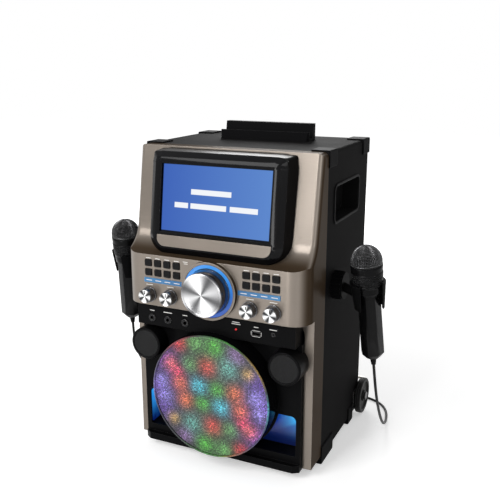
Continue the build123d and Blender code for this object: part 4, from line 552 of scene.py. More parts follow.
bpy.ops.object.select_all(action="DESELECT")
bpy.ops.mesh.primitive_cube_add(size=1)
first_key = bpy.context.object
first_key.scale = (13 * MM, 4.8 * MM, 11.7 * MM)
bpy.ops.object.transform_apply(location=True, rotation=True, scale=True)
bpy.ops.object.mode_set(mode="EDIT")
edges_where(first_key, lambda a, b: abs(a.y - b.y) > MM)
bpy.ops.mesh.bevel(offset=2.4 * MM, segments=5, affect="EDGES")
edges_where(first_key, lambda a, b: a.y < 0 and b.y < 0)
bpy.ops.mesh.bevel(offset=0.55 * MM, segments=3, affect="EDGES")
faces_where(first_key, lambda at, normal: normal.y < -0.99 and at.length < 3 * MM)
bpy.ops.mesh.inset(thickness=1.6 * MM)
bpy.ops.mesh.extrude_region_move(TRANSFORM_OT_translate={"value": (0, 0.25 * MM, 0)})
bpy.ops.object.mode_set(mode="OBJECT")
first_key.data.materials.append(key_rubber)
bpy.ops.object.shade_smooth_by_angle(angle=radians(35))
for number in range(1, 17):
    row, column = divmod(number - 1, 8)
    cap = first_key.copy()
    cap.data = first_key.data.copy()
    bpy.context.scene.collection.objects.link(cap)
    cap.data.transform(Matrix.Translation((KEY_COLUMNS[column] * MM, FRONT - 89.6 * MM, KEY_ROWS[row] * MM)))
    settle(cap, "rounded_key_%02d" % number, "key_cap_%02d" % number, "key_%02d" % number)
bpy.data.objects.remove(first_key)


# ---------------------------------------------------------------- printed marks
# Short white dashes stand where the panel is printed above its keys, knobs and sockets.

MARKS = [(x, 369.8, 9, 1.1, 90) for x in (-117.7, -99.5, -81.4, -63.2, 65.3, 82.5, 100, 117.2)]
MARKS += [(x, 322.6, 13, 1.1, 90) for x in (-117, -76, 72, 113)]
MARKS += [(x, 273.2, w, 1.2, 82) for x, w in ((-119, 9), (-87.6, 17), (-53.5, 9), (43, 16), (79.4, 8), (109.4, 13))]
MARKS += [(43, 276.4, 13, 1.2, 82), (-46, 370.5, 9, 1.0, 90), (-45, 367.5, 7, 1.0, 90)]
MARKS += [(x, 331, 11, 1.1, 90.6) for x in (-117, -99, -81, -63, 61, 79, 97, 115)]
MARKS += [(79.4, 267.0, 14.6, 0.65, 82), (79.4, 257.0, 14.6, 0.65, 82)]
MARKS += [(x, 262, 0.65, 7.2, 82) for x in (70.5, 88.3)]

bpy.ops.object.select_all(action="DESELECT")
dashes = []
for x, z, wide, high, reach in MARKS:
    bpy.ops.mesh.primitive_cube_add(size=1, location=(x * MM, FRONT - (reach + 0.04) * MM, z * MM))
    dash = bpy.context.object
    dash.scale = (wide * MM, 0.08 * MM, high * MM)
    bpy.ops.object.transform_apply(location=True, rotation=True, scale=True)
    dashes.append(dash)
for dash in dashes:
    dash.select_set(True)
bpy.context.view_layer.objects.active = dashes[0]
bpy.ops.object.join()
printed_marks = bpy.context.object
printed_marks.name = "printed_marks"
white_ink = finish("white_ink", (0.72, 0.71, 0.69), 0.5, scale=4000, depth=0.005, tone=0.1, radius=0.05,
                   wear_and_glint_amount=0.0)
printed_marks.data.materials.append(white_ink)
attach(printed_marks, "pedestal")


# ---------------------------------------------------------------- small knobs
# Four chromed knobs: a base disc, a fluted grip and a spun face with a dark pointer groove.

chrome = finish("chrome", (0.78, 0.78, 0.8), 0.1, metallic=1.0, scale=900, depth=0.003, tone=0.05,
                radius=0.4, wear_and_glint_amount=0.0)


def spun_face(name, centre, dark, light, turn, grooves, wide, narrow):
    """Metal turned on a lathe: rings round a centre, and fans of painted highlight and shade in its colour."""
    material = bpy.data.materials.new(name)
    material.use_nodes = True
    tree = material.node_tree
    shader = tree.nodes["Principled BSDF"]
    shader.inputs["Metallic"].default_value = 1.0
    shader.inputs["Roughness"].default_value = 0.2
    shader.inputs["Anisotropic"].default_value = 0.6
    place = tree.nodes.new("ShaderNodeTexCoord")
    centred = tree.nodes.new("ShaderNodeMapping")
    centred.inputs["Location"].default_value = (-centre[0] * MM, 0, -centre[1] * MM)
    tree.links.new(place.outputs["Object"], centred.inputs["Vector"])
    parts = tree.nodes.new("ShaderNodeSeparateXYZ")
    tree.links.new(centred.outputs["Vector"], parts.inputs["Vector"])
    # Painted highlight and shade: fans of light and dark round the centre, in place of the fans of light that the rings
    # throw.
    angle = math_node(tree, "ARCTAN2", parts.outputs["Z"], parts.outputs["X"])
    twice = math_node(tree, "MULTIPLY", math_node(tree, "SUBTRACT", angle, radians(turn)), 2.0)
    fan = math_node(tree, "COSINE", twice)
    side_fan = math_node(tree, "COSINE", math_node(tree, "MULTIPLY", twice, 2.0))
    total = math_node(tree, "ADD", math_node(tree, "MULTIPLY", fan, wide),
                      math_node(tree, "MULTIPLY", side_fan, narrow))
    total = math_node(tree, "ADD", total, 0.5, clamp=True)
    flat = tree.nodes.new("ShaderNodeCombineXYZ")
    tree.links.new(parts.outputs["X"], flat.inputs["X"])
    tree.links.new(parts.outputs["Z"], flat.inputs["Y"])
    out = tree.nodes.new("ShaderNodeVectorMath")
    out.operation = "LENGTH"
    tree.links.new(flat.outputs["Vector"], out.inputs[0])
    ring = math_node(tree, "SINE", math_node(tree, "MULTIPLY", out.outputs["Value"], grooves))
    scratch = tree.nodes.new("ShaderNodeTexNoise")
    scratch.noise_dimensions = "1D"
    scratch.inputs["Scale"].default_value = 2400
    tree.links.new(out.outputs["Value"], scratch.inputs["W"])
    mixed = tree.nodes.new("ShaderNodeMix")
    mixed.data_type = "RGBA"
    mixed.inputs["A"].default_value = (*dark, 1)
    mixed.inputs["B"].default_value = (*light, 1)
    uneven = math_node(tree, "MULTIPLY", math_node(tree, "SUBTRACT", scratch.outputs["Fac"], 0.5), 0.35)
    tree.links.new(math_node(tree, "ADD", total, uneven, clamp=True), mixed.inputs["Factor"])
    tree.links.new(mixed.outputs["Result"], shader.inputs["Base Color"])
    bump = tree.nodes.new("ShaderNodeBump")
    bump.inputs["Distance"].default_value = 0.01 * MM
    tree.links.new(ring, bump.inputs["Height"])
    tree.links.new(bump.outputs["Normal"], shader.inputs["Normal"])
    return material


# Painted shade: the fluted sides of the chrome knobs are drawn much darker than their chrome, for the dark that they
# reflect.
chrome_in_painted_shade = finish("chrome_in_painted_shade", (0.13, 0.13, 0.135), 0.2, metallic=1.0, scale=900, depth=0.003,
                     tone=0.1, radius=0.3, wear_and_glint_amount=0.3, wear_and_glint_colour=(0.6, 0.6, 0.62))
groove_black = finish("groove_black", (0.01, 0.01, 0.01), 0.4, scale=2000)
for number, x in enumerate((-117, -76, 72, 113), start=1):
    middle = Vector((x * MM, 0, 306 * MM))
    bpy.ops.object.select_all(action="DESELECT")
    bpy.ops.mesh.primitive_cylinder_add(vertices=72, radius=13.8 * MM, depth=2.6 * MM,
                                        location=(middle.x, FRONT - 91.9 * MM, middle.z),
                                        rotation=(pi / 2, 0, 0))
    knob = bpy.context.object
    bpy.ops.object.transform_apply(location=True, rotation=True, scale=True)
    bpy.ops.object.mode_set(mode="EDIT")
    faces_where(knob, lambda at, normal: normal.y < -0.9)
    bpy.ops.mesh.inset(thickness=0.9 * MM)
    bpy.ops.mesh.extrude_region_move(TRANSFORM_OT_translate={"value": (0, -12.6 * MM, 0)})
    bpy.ops.transform.resize(value=(0.925, 1, 0.925), center_override=(middle.x, FRONT - 105.8 * MM, middle.z))
    bpy.ops.mesh.inset(thickness=0.5 * MM)
    bpy.ops.mesh.extrude_region_move(TRANSFORM_OT_translate={"value": (0, -1.6 * MM, 0)})
    bpy.ops.mesh.inset(thickness=1.0 * MM)
    bpy.ops.mesh.extrude_region_move(TRANSFORM_OT_translate={"value": (0, 0.5 * MM, 0)})
    faces_where(knob, lambda at, normal: FRONT - 105.5 * MM < at.y < FRONT - 95 * MM
                and abs(normal.y) < 0.3
                and int(degrees(atan2(at.z - middle.z, at.x - middle.x)) // 5) % 3 == 0)
    bpy.ops.mesh.inset(thickness=0.15 * MM, use_individual=True)
    bpy.ops.mesh.extrude_region_shrink_fatten(TRANSFORM_OT_shrink_fatten={"value": -0.5 * MM})
    bpy.ops.object.mode_set(mode="OBJECT")
    knob.data.materials.append(chrome_in_painted_shade)
    # The face has painted fans of highlight and shade, from near black to near white.
    knob.data.materials.append(spun_face("small_knob_face_%d" % number, (x, 306), (0.015, 0.015, 0.016),
                                         (0.9, 0.9, 0.9), 70 + 11 * number, 9000, 0.2, 0.55))
    knob.data.materials.append(chrome)
    for face in knob.data.polygons:
        if face.center.y < FRONT - 106.9 * MM:
            face.material_index = 1 if abs(face.normal.y) > 0.9 else 2
    bpy.ops.object.shade_smooth_by_angle(angle=radians(25))
    bpy.ops.object.select_all(action="DESELECT")
    bpy.ops.mesh.primitive_cube_add(size=1, location=(middle.x, FRONT - 107.35 * MM, middle.z + 6.8 * MM))
    pointer = bpy.context.object
    pointer.scale = (1.3 * MM, 0.5 * MM, 6 * MM)
    bpy.ops.object.transform_apply(location=True, rotation=True, scale=True)
    bpy.ops.object.mode_set(mode="EDIT")
    edges_where(pointer, lambda a, b: a.z > middle.z + 6.8 * MM and b.z > middle.z + 6.8 * MM
                and abs(a.x - b.x) > MM)
    bpy.ops.mesh.bevel(offset=0.4 * MM, segments=2, affect="EDGES")
    bpy.ops.object.mode_set(mode="OBJECT")
    pointer.data.materials.append(groove_black)
    knob.select_set(True)
    bpy.context.view_layer.objects.active = knob
    bpy.ops.object.join()
    settle(knob, "chrome_knob_%d" % number, "knob_%d" % number, "small_knob_%d" % number)


# ---------------------------------------------------------------- main dial
# A 76 mm dial turned from aluminium, polished on its side, with a raised lip round a spun face.

# Painted shade: the polished side of the dial is drawn dark, for the dark that it reflects.
polished = finish("polished_side", (0.11, 0.11, 0.118), 0.16, metallic=1.0, scale=700,
                  stretch=(1, 0.05, 1), depth=0.01, tone=0.15, radius=0.8, wear_and_glint_amount=0.3, wear_and_glint_colour=(0.9, 0.9, 0.9))
DIAL = [(94.5, 0), (94.5, 37.2), (95.3, 38), (97, 38), (97.4, 37.5), (98.2, 37.5), (98.6, 37.95),
        (119.6, 37), (120.1, 36.6), (120.9, 36.6), (121.3, 36.9), (122.2, 36.7), (123, 35.7),
        (123, 33.2), (122.5, 32.6), (122.3, 32.2), (122.3, 16), (122.3, 0)]
dial = turned_piece("spun_dial", DIAL, (0, 0, 328), "-y", 96)
dial.data.materials.append(polished)
# The face has painted fans of highlight and shade, from near black to near white.
dial.data.materials.append(spun_face("dial_face", (0, 328), (0.03, 0.03, 0.032), (0.85, 0.85, 0.86),
                                     112, 5200, 0.33, 0.38))
for face in dial.data.polygons:
    if face.center.y < FRONT - 122.1 * MM:
        face.material_index = 1
settle(dial, "spun_dial", "dial", "main_knob")


# ---------------------------------------------------------------- blue light: ring, bars and wells
# A translucent ring glows round the dial, with a thin bar on each side of it. Two lit panels at
# the back of the wells beside the speaker fade from cyan outside to deep blue inside: painted
# light and shade. A sheet on each well's side wall glows with painted light, brighter at the top.

def glowing(name, deep, bright, low, high, axis, strength, roughness=0.25):
    """Coloured plastic lit from behind, brighter towards one end of an axis."""
    material = bpy.data.materials.new(name)
    material.use_nodes = True
    tree = material.node_tree
    shader = tree.nodes["Principled BSDF"]
    shader.inputs["Roughness"].default_value = roughness
    place = tree.nodes.new("ShaderNodeTexCoord")
    parts = tree.nodes.new("ShaderNodeSeparateXYZ")
    tree.links.new(place.outputs["Object"], parts.inputs["Vector"])
    ramp = tree.nodes.new("ShaderNodeMapRange")
    ramp.interpolation_type = "SMOOTHSTEP"
    ramp.inputs["From Min"].default_value = low * MM
    ramp.inputs["From Max"].default_value = high * MM
    source = parts.outputs[axis[-1]]
    if axis.startswith("|"):
        source = math_node(tree, "ABSOLUTE", source)
    tree.links.new(source, ramp.inputs["Value"])
    cloud = tree.nodes.new("ShaderNodeTexNoise")
    cloud.inputs["Scale"].default_value = 60
    tree.links.new(place.outputs["Object"], cloud.inputs["Vector"])
    share = math_node(tree, "ADD", ramp.outputs["Result"],
                      math_node(tree, "MULTIPLY", math_node(tree, "SUBTRACT", cloud.outputs["Fac"], 0.5), 0.3),
                      clamp=True)
    tint = tree.nodes.new("ShaderNodeMix")
    tint.data_type = "RGBA"
    tint.inputs["A"].default_value = (*deep, 1)
    tint.inputs["B"].default_value = (*bright, 1)
    tree.links.new(share, tint.inputs["Factor"])
    tree.links.new(tint.outputs["Result"], shader.inputs["Base Color"])
    tree.links.new(tint.outputs["Result"], shader.inputs["Emission Color"])
    shader.inputs["Emission Strength"].default_value = strength
    return material


dress(glowing("ring_light", (0.012, 0.07, 0.36), (0.03, 0.20, 0.55), 285, 372, "Z", 0.5), "light_ring")


def well_light(name):
    """The lit panels and bars; in the wells, painted light and shade: cyan at the outer top corner, navy below a
    diagonal line.
    """
    material = glowing(name, (0.016, 0.085, 0.20), (0.026, 0.12, 0.25), 40, 130, "|X", 0.55)
    tree = material.node_tree
    shader = tree.nodes["Principled BSDF"]
    place = tree.nodes.new("ShaderNodeTexCoord")
    parts = tree.nodes.new("ShaderNodeSeparateXYZ")
    tree.links.new(place.outputs["Object"], parts.inputs["Vector"])
    across = math_node(tree, "MULTIPLY", math_node(tree, "ABSOLUTE", parts.outputs["X"]), 1000.0)
    up = math_node(tree, "MULTIPLY", parts.outputs["Z"], 1000.0)
    outer = tree.nodes.new("ShaderNodeMapRange")
    outer.interpolation_type = "SMOOTHSTEP"
    outer.inputs["From Min"].default_value = 92
    outer.inputs["From Max"].default_value = 150
    tree.links.new(across, outer.inputs["Value"])
    high = tree.nodes.new("ShaderNodeMapRange")
    high.interpolation_type = "SMOOTHSTEP"
    high.inputs["From Min"].default_value = 44
    high.inputs["From Max"].default_value = 122
    tree.links.new(up, high.inputs["Value"])
    # Painted light and shade: cyan towards the outer top corner, and darker below a diagonal line.
    painted_shade_line = tree.nodes.new("ShaderNodeMapRange")
    painted_shade_line.inputs["From Min"].default_value = -3
    painted_shade_line.inputs["From Max"].default_value = 3
    painted_shade_line.inputs["To Min"].default_value = 0.35
    slope = math_node(tree, "SUBTRACT", up, math_node(tree, "MULTIPLY", across, 0.52))
    tree.links.new(math_node(tree, "SUBTRACT", slope, 16.0), painted_shade_line.inputs["Value"])
    share = math_node(tree, "MULTIPLY", outer.outputs["Result"], high.outputs["Result"])
    share = math_node(tree, "MULTIPLY", share, painted_shade_line.outputs["Result"], clamp=True)
    deep = tree.nodes.new("ShaderNodeMix")
    deep.data_type = "RGBA"
    deep.inputs["A"].default_value = (0.001, 0.006, 0.05, 1)
    deep.inputs["B"].default_value = (0.008, 0.075, 0.62, 1)
    tree.links.new(math_node(tree, "ADD", math_node(tree, "MULTIPLY", high.outputs["Result"], 0.75),
                             math_node(tree, "MULTIPLY", share, 0.6), clamp=True), deep.inputs["Factor"])
    lit = tree.nodes.new("ShaderNodeMix")
    lit.data_type = "RGBA"
    lit.inputs["B"].default_value = (0.05, 0.75, 1.0, 1)
    tree.links.new(share, lit.inputs["Factor"])
    tree.links.new(deep.outputs["Result"], lit.inputs["A"])
    low = math_node(tree, "LESS_THAN", up, 200.0)
    chosen = tree.nodes.new("ShaderNodeMix")
    chosen.data_type = "RGBA"
    tree.links.new(low, chosen.inputs["Factor"])
    tree.links.new(shader.inputs["Emission Color"].links[0].from_socket, chosen.inputs["A"])
    tree.links.new(lit.outputs["Result"], chosen.inputs["B"])
    tree.links.new(chosen.outputs["Result"], shader.inputs["Emission Color"])
    tree.links.new(chosen.outputs["Result"], shader.inputs["Base Color"])
    return material


dress(well_light("bar_light"), "accent_lights")
# Painted light: a sheet on the side wall of each well glows blue, brighter towards the top, for the light that the
# lamps throw on the wall.
painted_well_light = glowing("painted_well_light", (0.002, 0.012, 0.11), (0.03, 0.36, 0.9), 42, 112, "Z", 0.75)
for side, hand in ((1, "right"), (-1, "left")):
    bpy.ops.object.select_all(action="DESELECT")
    bpy.ops.mesh.primitive_plane_add(size=1)
    light_sheet = bpy.context.object
    bpy.ops.object.mode_set(mode="EDIT")
    bpy.ops.transform.resize(value=(29 * MM, 64 * MM, 1))
    bpy.ops.mesh.bevel(offset=5 * MM, segments=4, affect="VERTICES")
    bpy.ops.mesh.extrude_region_move(TRANSFORM_OT_translate={"value": (0, 0, 0.5 * MM)})
    bpy.ops.mesh.select_all(action="SELECT")
    bpy.ops.mesh.normals_make_consistent(inside=False)
    bpy.ops.object.mode_set(mode="OBJECT")
    upright = Matrix(((0, 0, 1), (1, 0, 0), (0, 1, 0))).to_4x4()
    place = Matrix.Translation(((side * 144.2 - 0.25) * MM, FRONT - 41.5 * MM, 73.5 * MM))
    light_sheet.data.transform(place @ upright)
    light_sheet.data.materials.append(painted_well_light)
    settle(light_sheet, "well_light_sheet_" + hand, "pedestal")


# ---------------------------------------------------------------- sockets under the panel
# A black strip carries three 6.35 mm sockets, a USB socket, a 3.5 mm socket and a red lamp.

dress(satin_black, "jack_panel")
socket_metal = finish("socket_metal", (0.022, 0.022, 0.023), 0.3, metallic=1.0, scale=1800, depth=0.01,
                      radius=0.4, wear_and_glint_amount=0.6, wear_and_glint_colour=(0.35, 0.34, 0.32))
red_lamp = placed(socket_metal, front_bar)
for label, value in (("X", 43.0), ("Z", 264.0), ("Half width", 3.2), ("Half height", 3.2), ("Soft", 0.2)):
    red_lamp.inputs[label].default_value = value
lamp_tint = socket_metal.node_tree.nodes.new("ShaderNodeMix")
lamp_tint.data_type = "RGBA"
lamp_tint.inputs["A"].default_value = (0, 0, 0, 1)
lamp_tint.inputs["B"].default_value = (1, 0.02, 0.02, 1)
socket_metal.node_tree.links.new(red_lamp.outputs["Mask"], lamp_tint.inputs["Factor"])
socket_metal.node_tree.links.new(lamp_tint.outputs["Result"],
                                 socket_metal.node_tree.nodes["Principled BSDF"].inputs["Emission Color"])
socket_metal.node_tree.nodes["Principled BSDF"].inputs["Emission Strength"].default_value = 0.9
dress(socket_metal, "front_sockets")


# ---------------------------------------------------------------- lower fascia
# The black moulding round the speaker, with the two light wells and a plinth lip at the floor.

dress(satin_black, "lower_fascia")


# ---------------------------------------------------------------- speaker front
# A drum 221 mm across carries a perforated plate. Coloured lamps shine through a milky sheet
# behind the plate, on a 26 mm grid that is the same turned half round.

LAMPS = {"red": (0.75, 0.004, 0.004), "green": (0.06, 0.5, 0.008), "pale green": (0.14, 0.42, 0.10),
         "yellow": (0.75, 0.45, 0.06), "orange": (0.95, 0.17, 0.008), "violet haze": (0.06, 0.018, 0.19),
         "green haze": (0.03, 0.13, 0.02), "sea haze": (0.05, 0.09, 0.07), "cyan": (0.08, 0.72, 0.9),
         "violet": (0.09, 0.03, 0.30), "lavender": (0.34, 0.31, 0.78), "teal": (0.10, 0.42, 0.36),
         "rose": (0.78, 0.03, 0.05), "mauve": (0.30, 0.14, 0.42)}
LAMP_PLACES = [("red", -4, 54, 15), ("pale green", -38, 53, 13), ("orange", -76, 49, 13),
               ("red", -58, 88, 13), ("pale green", -26, 94, 13), ("green", 11, 92, 14),
               ("teal", 35, 58, 16), ("mauve", 50, 84, 15), ("yellow", 72, 54, 10),
               ("violet", 92, 42, 20), ("orange", -58, 15, 14), ("lavender", -94, 13, 12),
               ("cyan", -21, 16, 14), ("green", 14, 15, 13), ("orange", 48, 15, 14),
               ("lavender", 88, 14, 13), ("violet", -92, 62, 20), ("rose", -62, 36, 11),
               ("violet", 104, 0, 14), ("violet haze", -86, 36, 42), ("violet haze", -92, -20, 30),
               ("green haze", -10, 96, 38), ("sea haze", 30, 44, 44)]


def lamp_group():
    """The soft spot that a lamp throws on the sheet, and the same spot turned half round."""
    tree, given, result = node_group("lamp_spot", {"X": 0.0, "Z": 0.0, "Spread": 15.0, "Twin": 1.0},
                                     {"Glow": "NodeSocketFloat"})
    place = tree.nodes.new("ShaderNodeTexCoord")
    parts = tree.nodes.new("ShaderNodeSeparateXYZ")
    tree.links.new(place.outputs["Object"], parts.inputs["Vector"])
    across = math_node(tree, "MULTIPLY", parts.outputs["X"], 1000.0)
    up = math_node(tree, "SUBTRACT", math_node(tree, "MULTIPLY", parts.outputs["Z"], 1000.0), 140.0)
    spots = []
    for sign in ("SUBTRACT", "ADD"):
        dx = math_node(tree, "DIVIDE", math_node(tree, sign, across, given.outputs["X"]), given.outputs["Spread"])
        dz = math_node(tree, "DIVIDE", math_node(tree, sign, up, given.outputs["Z"]), given.outputs["Spread"])
        far = math_node(tree, "ADD", math_node(tree, "MULTIPLY", dx, dx), math_node(tree, "MULTIPLY", dz, dz))
        spots.append(math_node(tree, "EXPONENT", math_node(tree, "MULTIPLY", far, -1.0)))
    twin = math_node(tree, "MULTIPLY", spots[1], given.outputs["Twin"])
    tree.links.new(math_node(tree, "ADD", spots[0], twin), result.inputs["Glow"])
    return tree


lamp_spot = lamp_group()


def lamp_sheet(name, strength, base, places, twin, haze):
    """Milky plastic over lamps, with a haze between them and the sparkle of its pebbled skin."""
    material = bpy.data.materials.new(name)
    material.use_nodes = True
    tree = material.node_tree
    shader = tree.nodes["Principled BSDF"]
    shader.inputs["Base Color"].default_value = (*base, 1)
    shader.inputs["Roughness"].default_value = 0.35
    total = None
    for colour, x, z, spread in places:
        spot = placed(material, lamp_spot, X=x, Z=z, Spread=spread, Twin=twin)
        scaled = tree.nodes.new("ShaderNodeVectorMath")
        scaled.operation = "SCALE"
        scaled.inputs[0].default_value = LAMPS[colour]
        tree.links.new(spot.outputs["Glow"], scaled.inputs["Scale"])
        added = tree.nodes.new("ShaderNodeVectorMath")
        added.operation = "ADD"
        if total is None:
            added.inputs[0].default_value = haze
        else:
            tree.links.new(total, added.inputs[0])
        tree.links.new(scaled.outputs["Vector"], added.inputs[1])
        total = added.outputs["Vector"]
    place = tree.nodes.new("ShaderNodeTexCoord")
    sparkle = tree.nodes.new("ShaderNodeTexVoronoi")
    sparkle.inputs["Scale"].default_value = 640
    tree.links.new(place.outputs["Object"], sparkle.inputs["Vector"])
    chance = tree.nodes.new("ShaderNodeSeparateColor")
    tree.links.new(sparkle.outputs["Color"], chance.inputs["Color"])
    bright = tree.nodes.new("ShaderNodeMapRange")
    bright.inputs["To Min"].default_value = 0.32
    bright.inputs["To Max"].default_value = 2.0
    tree.links.new(math_node(tree, "POWER", chance.outputs["Red"], 1.6), bright.inputs["Value"])
    salt = tree.nodes.new("ShaderNodeVectorMath")
    salt.operation = "SCALE"
    salt.inputs[0].default_value = (0.07, 0.07, 0.07)
    tree.links.new(math_node(tree, "GREATER_THAN", chance.outputs["Green"], 0.86), salt.inputs["Scale"])
    salted = tree.nodes.new("ShaderNodeVectorMath")
    salted.operation = "ADD"
    tree.links.new(total, salted.inputs[0])
    tree.links.new(salt.outputs["Vector"], salted.inputs[1])
    total = salted.outputs["Vector"]
    shown = tree.nodes.new("ShaderNodeVectorMath")
    shown.operation = "SCALE"
    tree.links.new(total, shown.inputs[0])
    tree.links.new(bright.outputs["Result"], shown.inputs["Scale"])
    tree.links.new(shown.outputs["Vector"], shader.inputs["Emission Color"])
    shader.inputs["Emission Strength"].default_value = strength
    bump = tree.nodes.new("ShaderNodeBump")
    bump.inputs["Distance"].default_value = 0.2 * MM
    tree.links.new(sparkle.outputs["Distance"], bump.inputs["Height"])
    tree.links.new(bump.outputs["Normal"], shader.inputs["Normal"])
    return material


bpy.ops.object.select_all(action="DESELECT")
bpy.ops.mesh.primitive_grid_add(x_subdivisions=96, y_subdivisions=96, size=216 * MM,
                                location=(0, FRONT - 98.4 * MM, 140 * MM), rotation=(pi / 2, 0, 0))
plate = bpy.context.object
bpy.ops.object.transform_apply(location=True, rotation=True, scale=True)
bpy.ops.object.mode_set(mode="EDIT")
faces_where(plate, lambda at, normal: (at - Vector((0, at.y, 140 * MM))).length > 106.8 * MM)
bpy.ops.mesh.delete(type="FACE")
bpy.ops.mesh.select_all(action="SELECT")
bpy.ops.mesh.inset(thickness=0.2 * MM, use_individual=True)
bpy.ops.mesh.delete(type="FACE")
bpy.ops.mesh.select_all(action="SELECT")
bpy.ops.mesh.extrude_region_move(TRANSFORM_OT_translate={"value": (0, -0.6 * MM, 0)})
bpy.ops.mesh.select_all(action="SELECT")
bpy.ops.mesh.normals_make_consistent(inside=False)
bpy.ops.object.mode_set(mode="OBJECT")
plate_paint = finish("plate_paint", (0.05, 0.05, 0.052), 0.35, metallic=0.6, scale=2500, depth=0.01,
                     radius=0.1, wear_and_glint_amount=0.0)
mesh_black = finish("mesh_black", (0.018, 0.018, 0.0185), 0.4, shine=0.12, scale=2500, depth=0.01, radius=0.1, wear_and_glint_amount=0.0)
plate.data.materials.append(plate_paint)
settle(plate, "speaker_plate", "pedestal", "speaker_grille")

SHEET = [(96.6, 0), (96.6, 107.6), (97.6, 107.6), (97.6, 0)]
milky_sheet = turned_piece("milky_sheet", SHEET, (0, 0, 140), "-y", 96)
milky_sheet.data.materials.append(lamp_sheet("lamp_light", 1.15, (0.03, 0.03, 0.032), LAMP_PLACES, 1.0,
                                           (0.045, 0.04, 0.045)))
settle(milky_sheet, "milky_sheet", "pedestal", "speaker_grille")

DRUM = [(60, 104), (60, 110.5), (98.2, 110.5), (100.2, 110.2), (101, 109.4), (101, 108.7),
        (100.4, 108.1), (99.0, 107.8), (96.4, 107.7), (95.8, 104), (60, 104)]
# Painted light: the front edge of the gloss black drum glows in spots of the lamps' colours.
PAINTED_RIM_LIGHT = [("violet", -108, 12, 44), ("lavender", -108, 0, 20), ("green", 8, -110, 46),
              ("cyan", 110, -6, 26), ("violet", 96, -60, 38), ("yellow", 88, 64, 26),
              ("green", 28, 106, 34), ("rose", -62, 92, 24), ("rose", 50, -98, 22)]
drum = turned_piece("speaker_drum", DRUM, (0, 0, 140), "-y", 128)
drum.data.materials.append(gloss_black)
drum.data.materials.append(lamp_sheet("painted_rim_glow", 0.3, (0.03, 0.03, 0.034), PAINTED_RIM_LIGHT, 0.0, (0.01, 0.01, 0.02)))
for face in drum.data.polygons:
    if face.center.y < FRONT - 98.3 * MM:
        face.material_index = 1
settle(drum, "speaker_drum", "pedestal", "speaker_grille")


# ---------------------------------------------------------------- lamp board and woofer
# A ribbed board holds the lamps behind the plate, and a woofer with a paper cone sits behind it.

solder_mask = finish("solder_mask", (0.015, 0.11, 0.03), 0.3, scale=500, depth=0.02, tone=0.25, coat=0.3)
dress(solder_mask, "led_board", "circuit_boards")
paper_cone = finish("paper_cone", (0.03, 0.029, 0.028), 0.8, scale=700, depth=0.1, tone=0.3, wear_and_glint_amount=0.1)
dress(paper_cone, "woofer")


# ---------------------------------------------------------------- tweeter pods
# Two round pods stand out beside the speaker, each closed by a black wire mesh in a rim.

dress(satin_black, "tweeter_pods")
TWEETER_RING = [(86.8, 24.2), (88.0, 24.4), (88.6, 24.9), (88.6, 25.6), (88.0, 26.2), (86.8, 26.5),
                (86.8, 24.2)]
for side, hand in ((1, "right"), (-1, "left")):
    bpy.ops.object.select_all(action="DESELECT")
    bpy.ops.mesh.primitive_grid_add(x_subdivisions=26, y_subdivisions=26, size=52 * MM,
                                    location=(side * 131 * MM, FRONT - 86.9 * MM, 211 * MM),
                                    rotation=(pi / 2, 0, 0))
    mesh = bpy.context.object
    bpy.ops.object.transform_apply(location=True, rotation=True, scale=True)
    bpy.ops.object.mode_set(mode="EDIT")
    middle = Vector((side * 131 * MM, 0, 211 * MM))
    faces_where(mesh, lambda at, normal: (at - Vector((middle.x, at.y, middle.z))).length > 24.2 * MM)
    bpy.ops.mesh.delete(type="FACE")
    bpy.ops.mesh.select_all(action="SELECT")
    bpy.ops.mesh.inset(thickness=0.42 * MM, use_individual=True)
    bpy.ops.mesh.delete(type="FACE")
    bpy.ops.mesh.select_all(action="SELECT")
    bpy.ops.mesh.extrude_region_move(TRANSFORM_OT_translate={"value": (0, -0.5 * MM, 0)})
    bpy.ops.mesh.select_all(action="SELECT")
    bpy.ops.mesh.normals_make_consistent(inside=False)
    bpy.ops.object.mode_set(mode="OBJECT")
    mesh.data.materials.append(mesh_black)
    settle(mesh, "tweeter_mesh_" + hand, "pedestal")
    ring = turned_piece("tweeter_ring_" + hand, TWEETER_RING, (side * 131, 0, 211), "-y", 64)
    ring.data.materials.append(gloss_black)
    settle(ring, "tweeter_ring_" + hand, "pedestal")


# ---------------------------------------------------------------- microphone holders
# On each side a ribbed boss turns on the cabinet, and an arm carries a sprung clip.

holder_nylon = finish("holder_nylon", (0.0035, 0.0035, 0.0037), 0.5, shine=0.012, scale=1800, depth=0.03,
                      tone=0.3, radius=0.6, wear_and_glint_amount=0.35, wear_and_glint_colour=(0.05, 0.05, 0.052))
dress(holder_nylon, "mic_holders")


# ---------------------------------------------------------------- microphones
# Two handheld microphones, 214 mm long: a wire mesh head on a ribbed neck, an eight-sided grip
# and a boot where the cord leaves.

# The light edge colour of this lacquer is a painted highlight along the ribs of the neck and the edges of the grip.
mic_lacquer = finish("mic_lacquer", (0.003, 0.003, 0.0033), 0.24, shine=0.07, scale=2600, depth=0.01, tone=0.2,
                     radius=0.3, wear_and_glint_amount=0.4, wear_and_glint_colour=(0.2, 0.2, 0.205))
wire_black = finish("wire_black", (0.12, 0.12, 0.123), 0.24, metallic=0.9, scale=2500, depth=0.004, radius=0.1,
                    wear_and_glint_amount=0.0)
head_foam = finish("head_foam", (0.004, 0.004, 0.004), 0.9, scale=1500, depth=0.3, shine=0.05)
MIC_UP = Vector((-12.5, -28, 184)).normalized()
MIC_ACROSS = Vector((184, 0, 12.5)).normalized()
MIC_TURN = Matrix((MIC_ACROSS, MIC_UP.cross(MIC_ACROSS), MIC_UP)).transposed().to_4x4()
bpy.ops.object.select_all(action="DESELECT")
bpy.ops.mesh.primitive_uv_sphere_add(segments=54, ring_count=34, radius=28.7 * MM)
wire_ball = bpy.context.object
bpy.ops.object.mode_set(mode="EDIT")
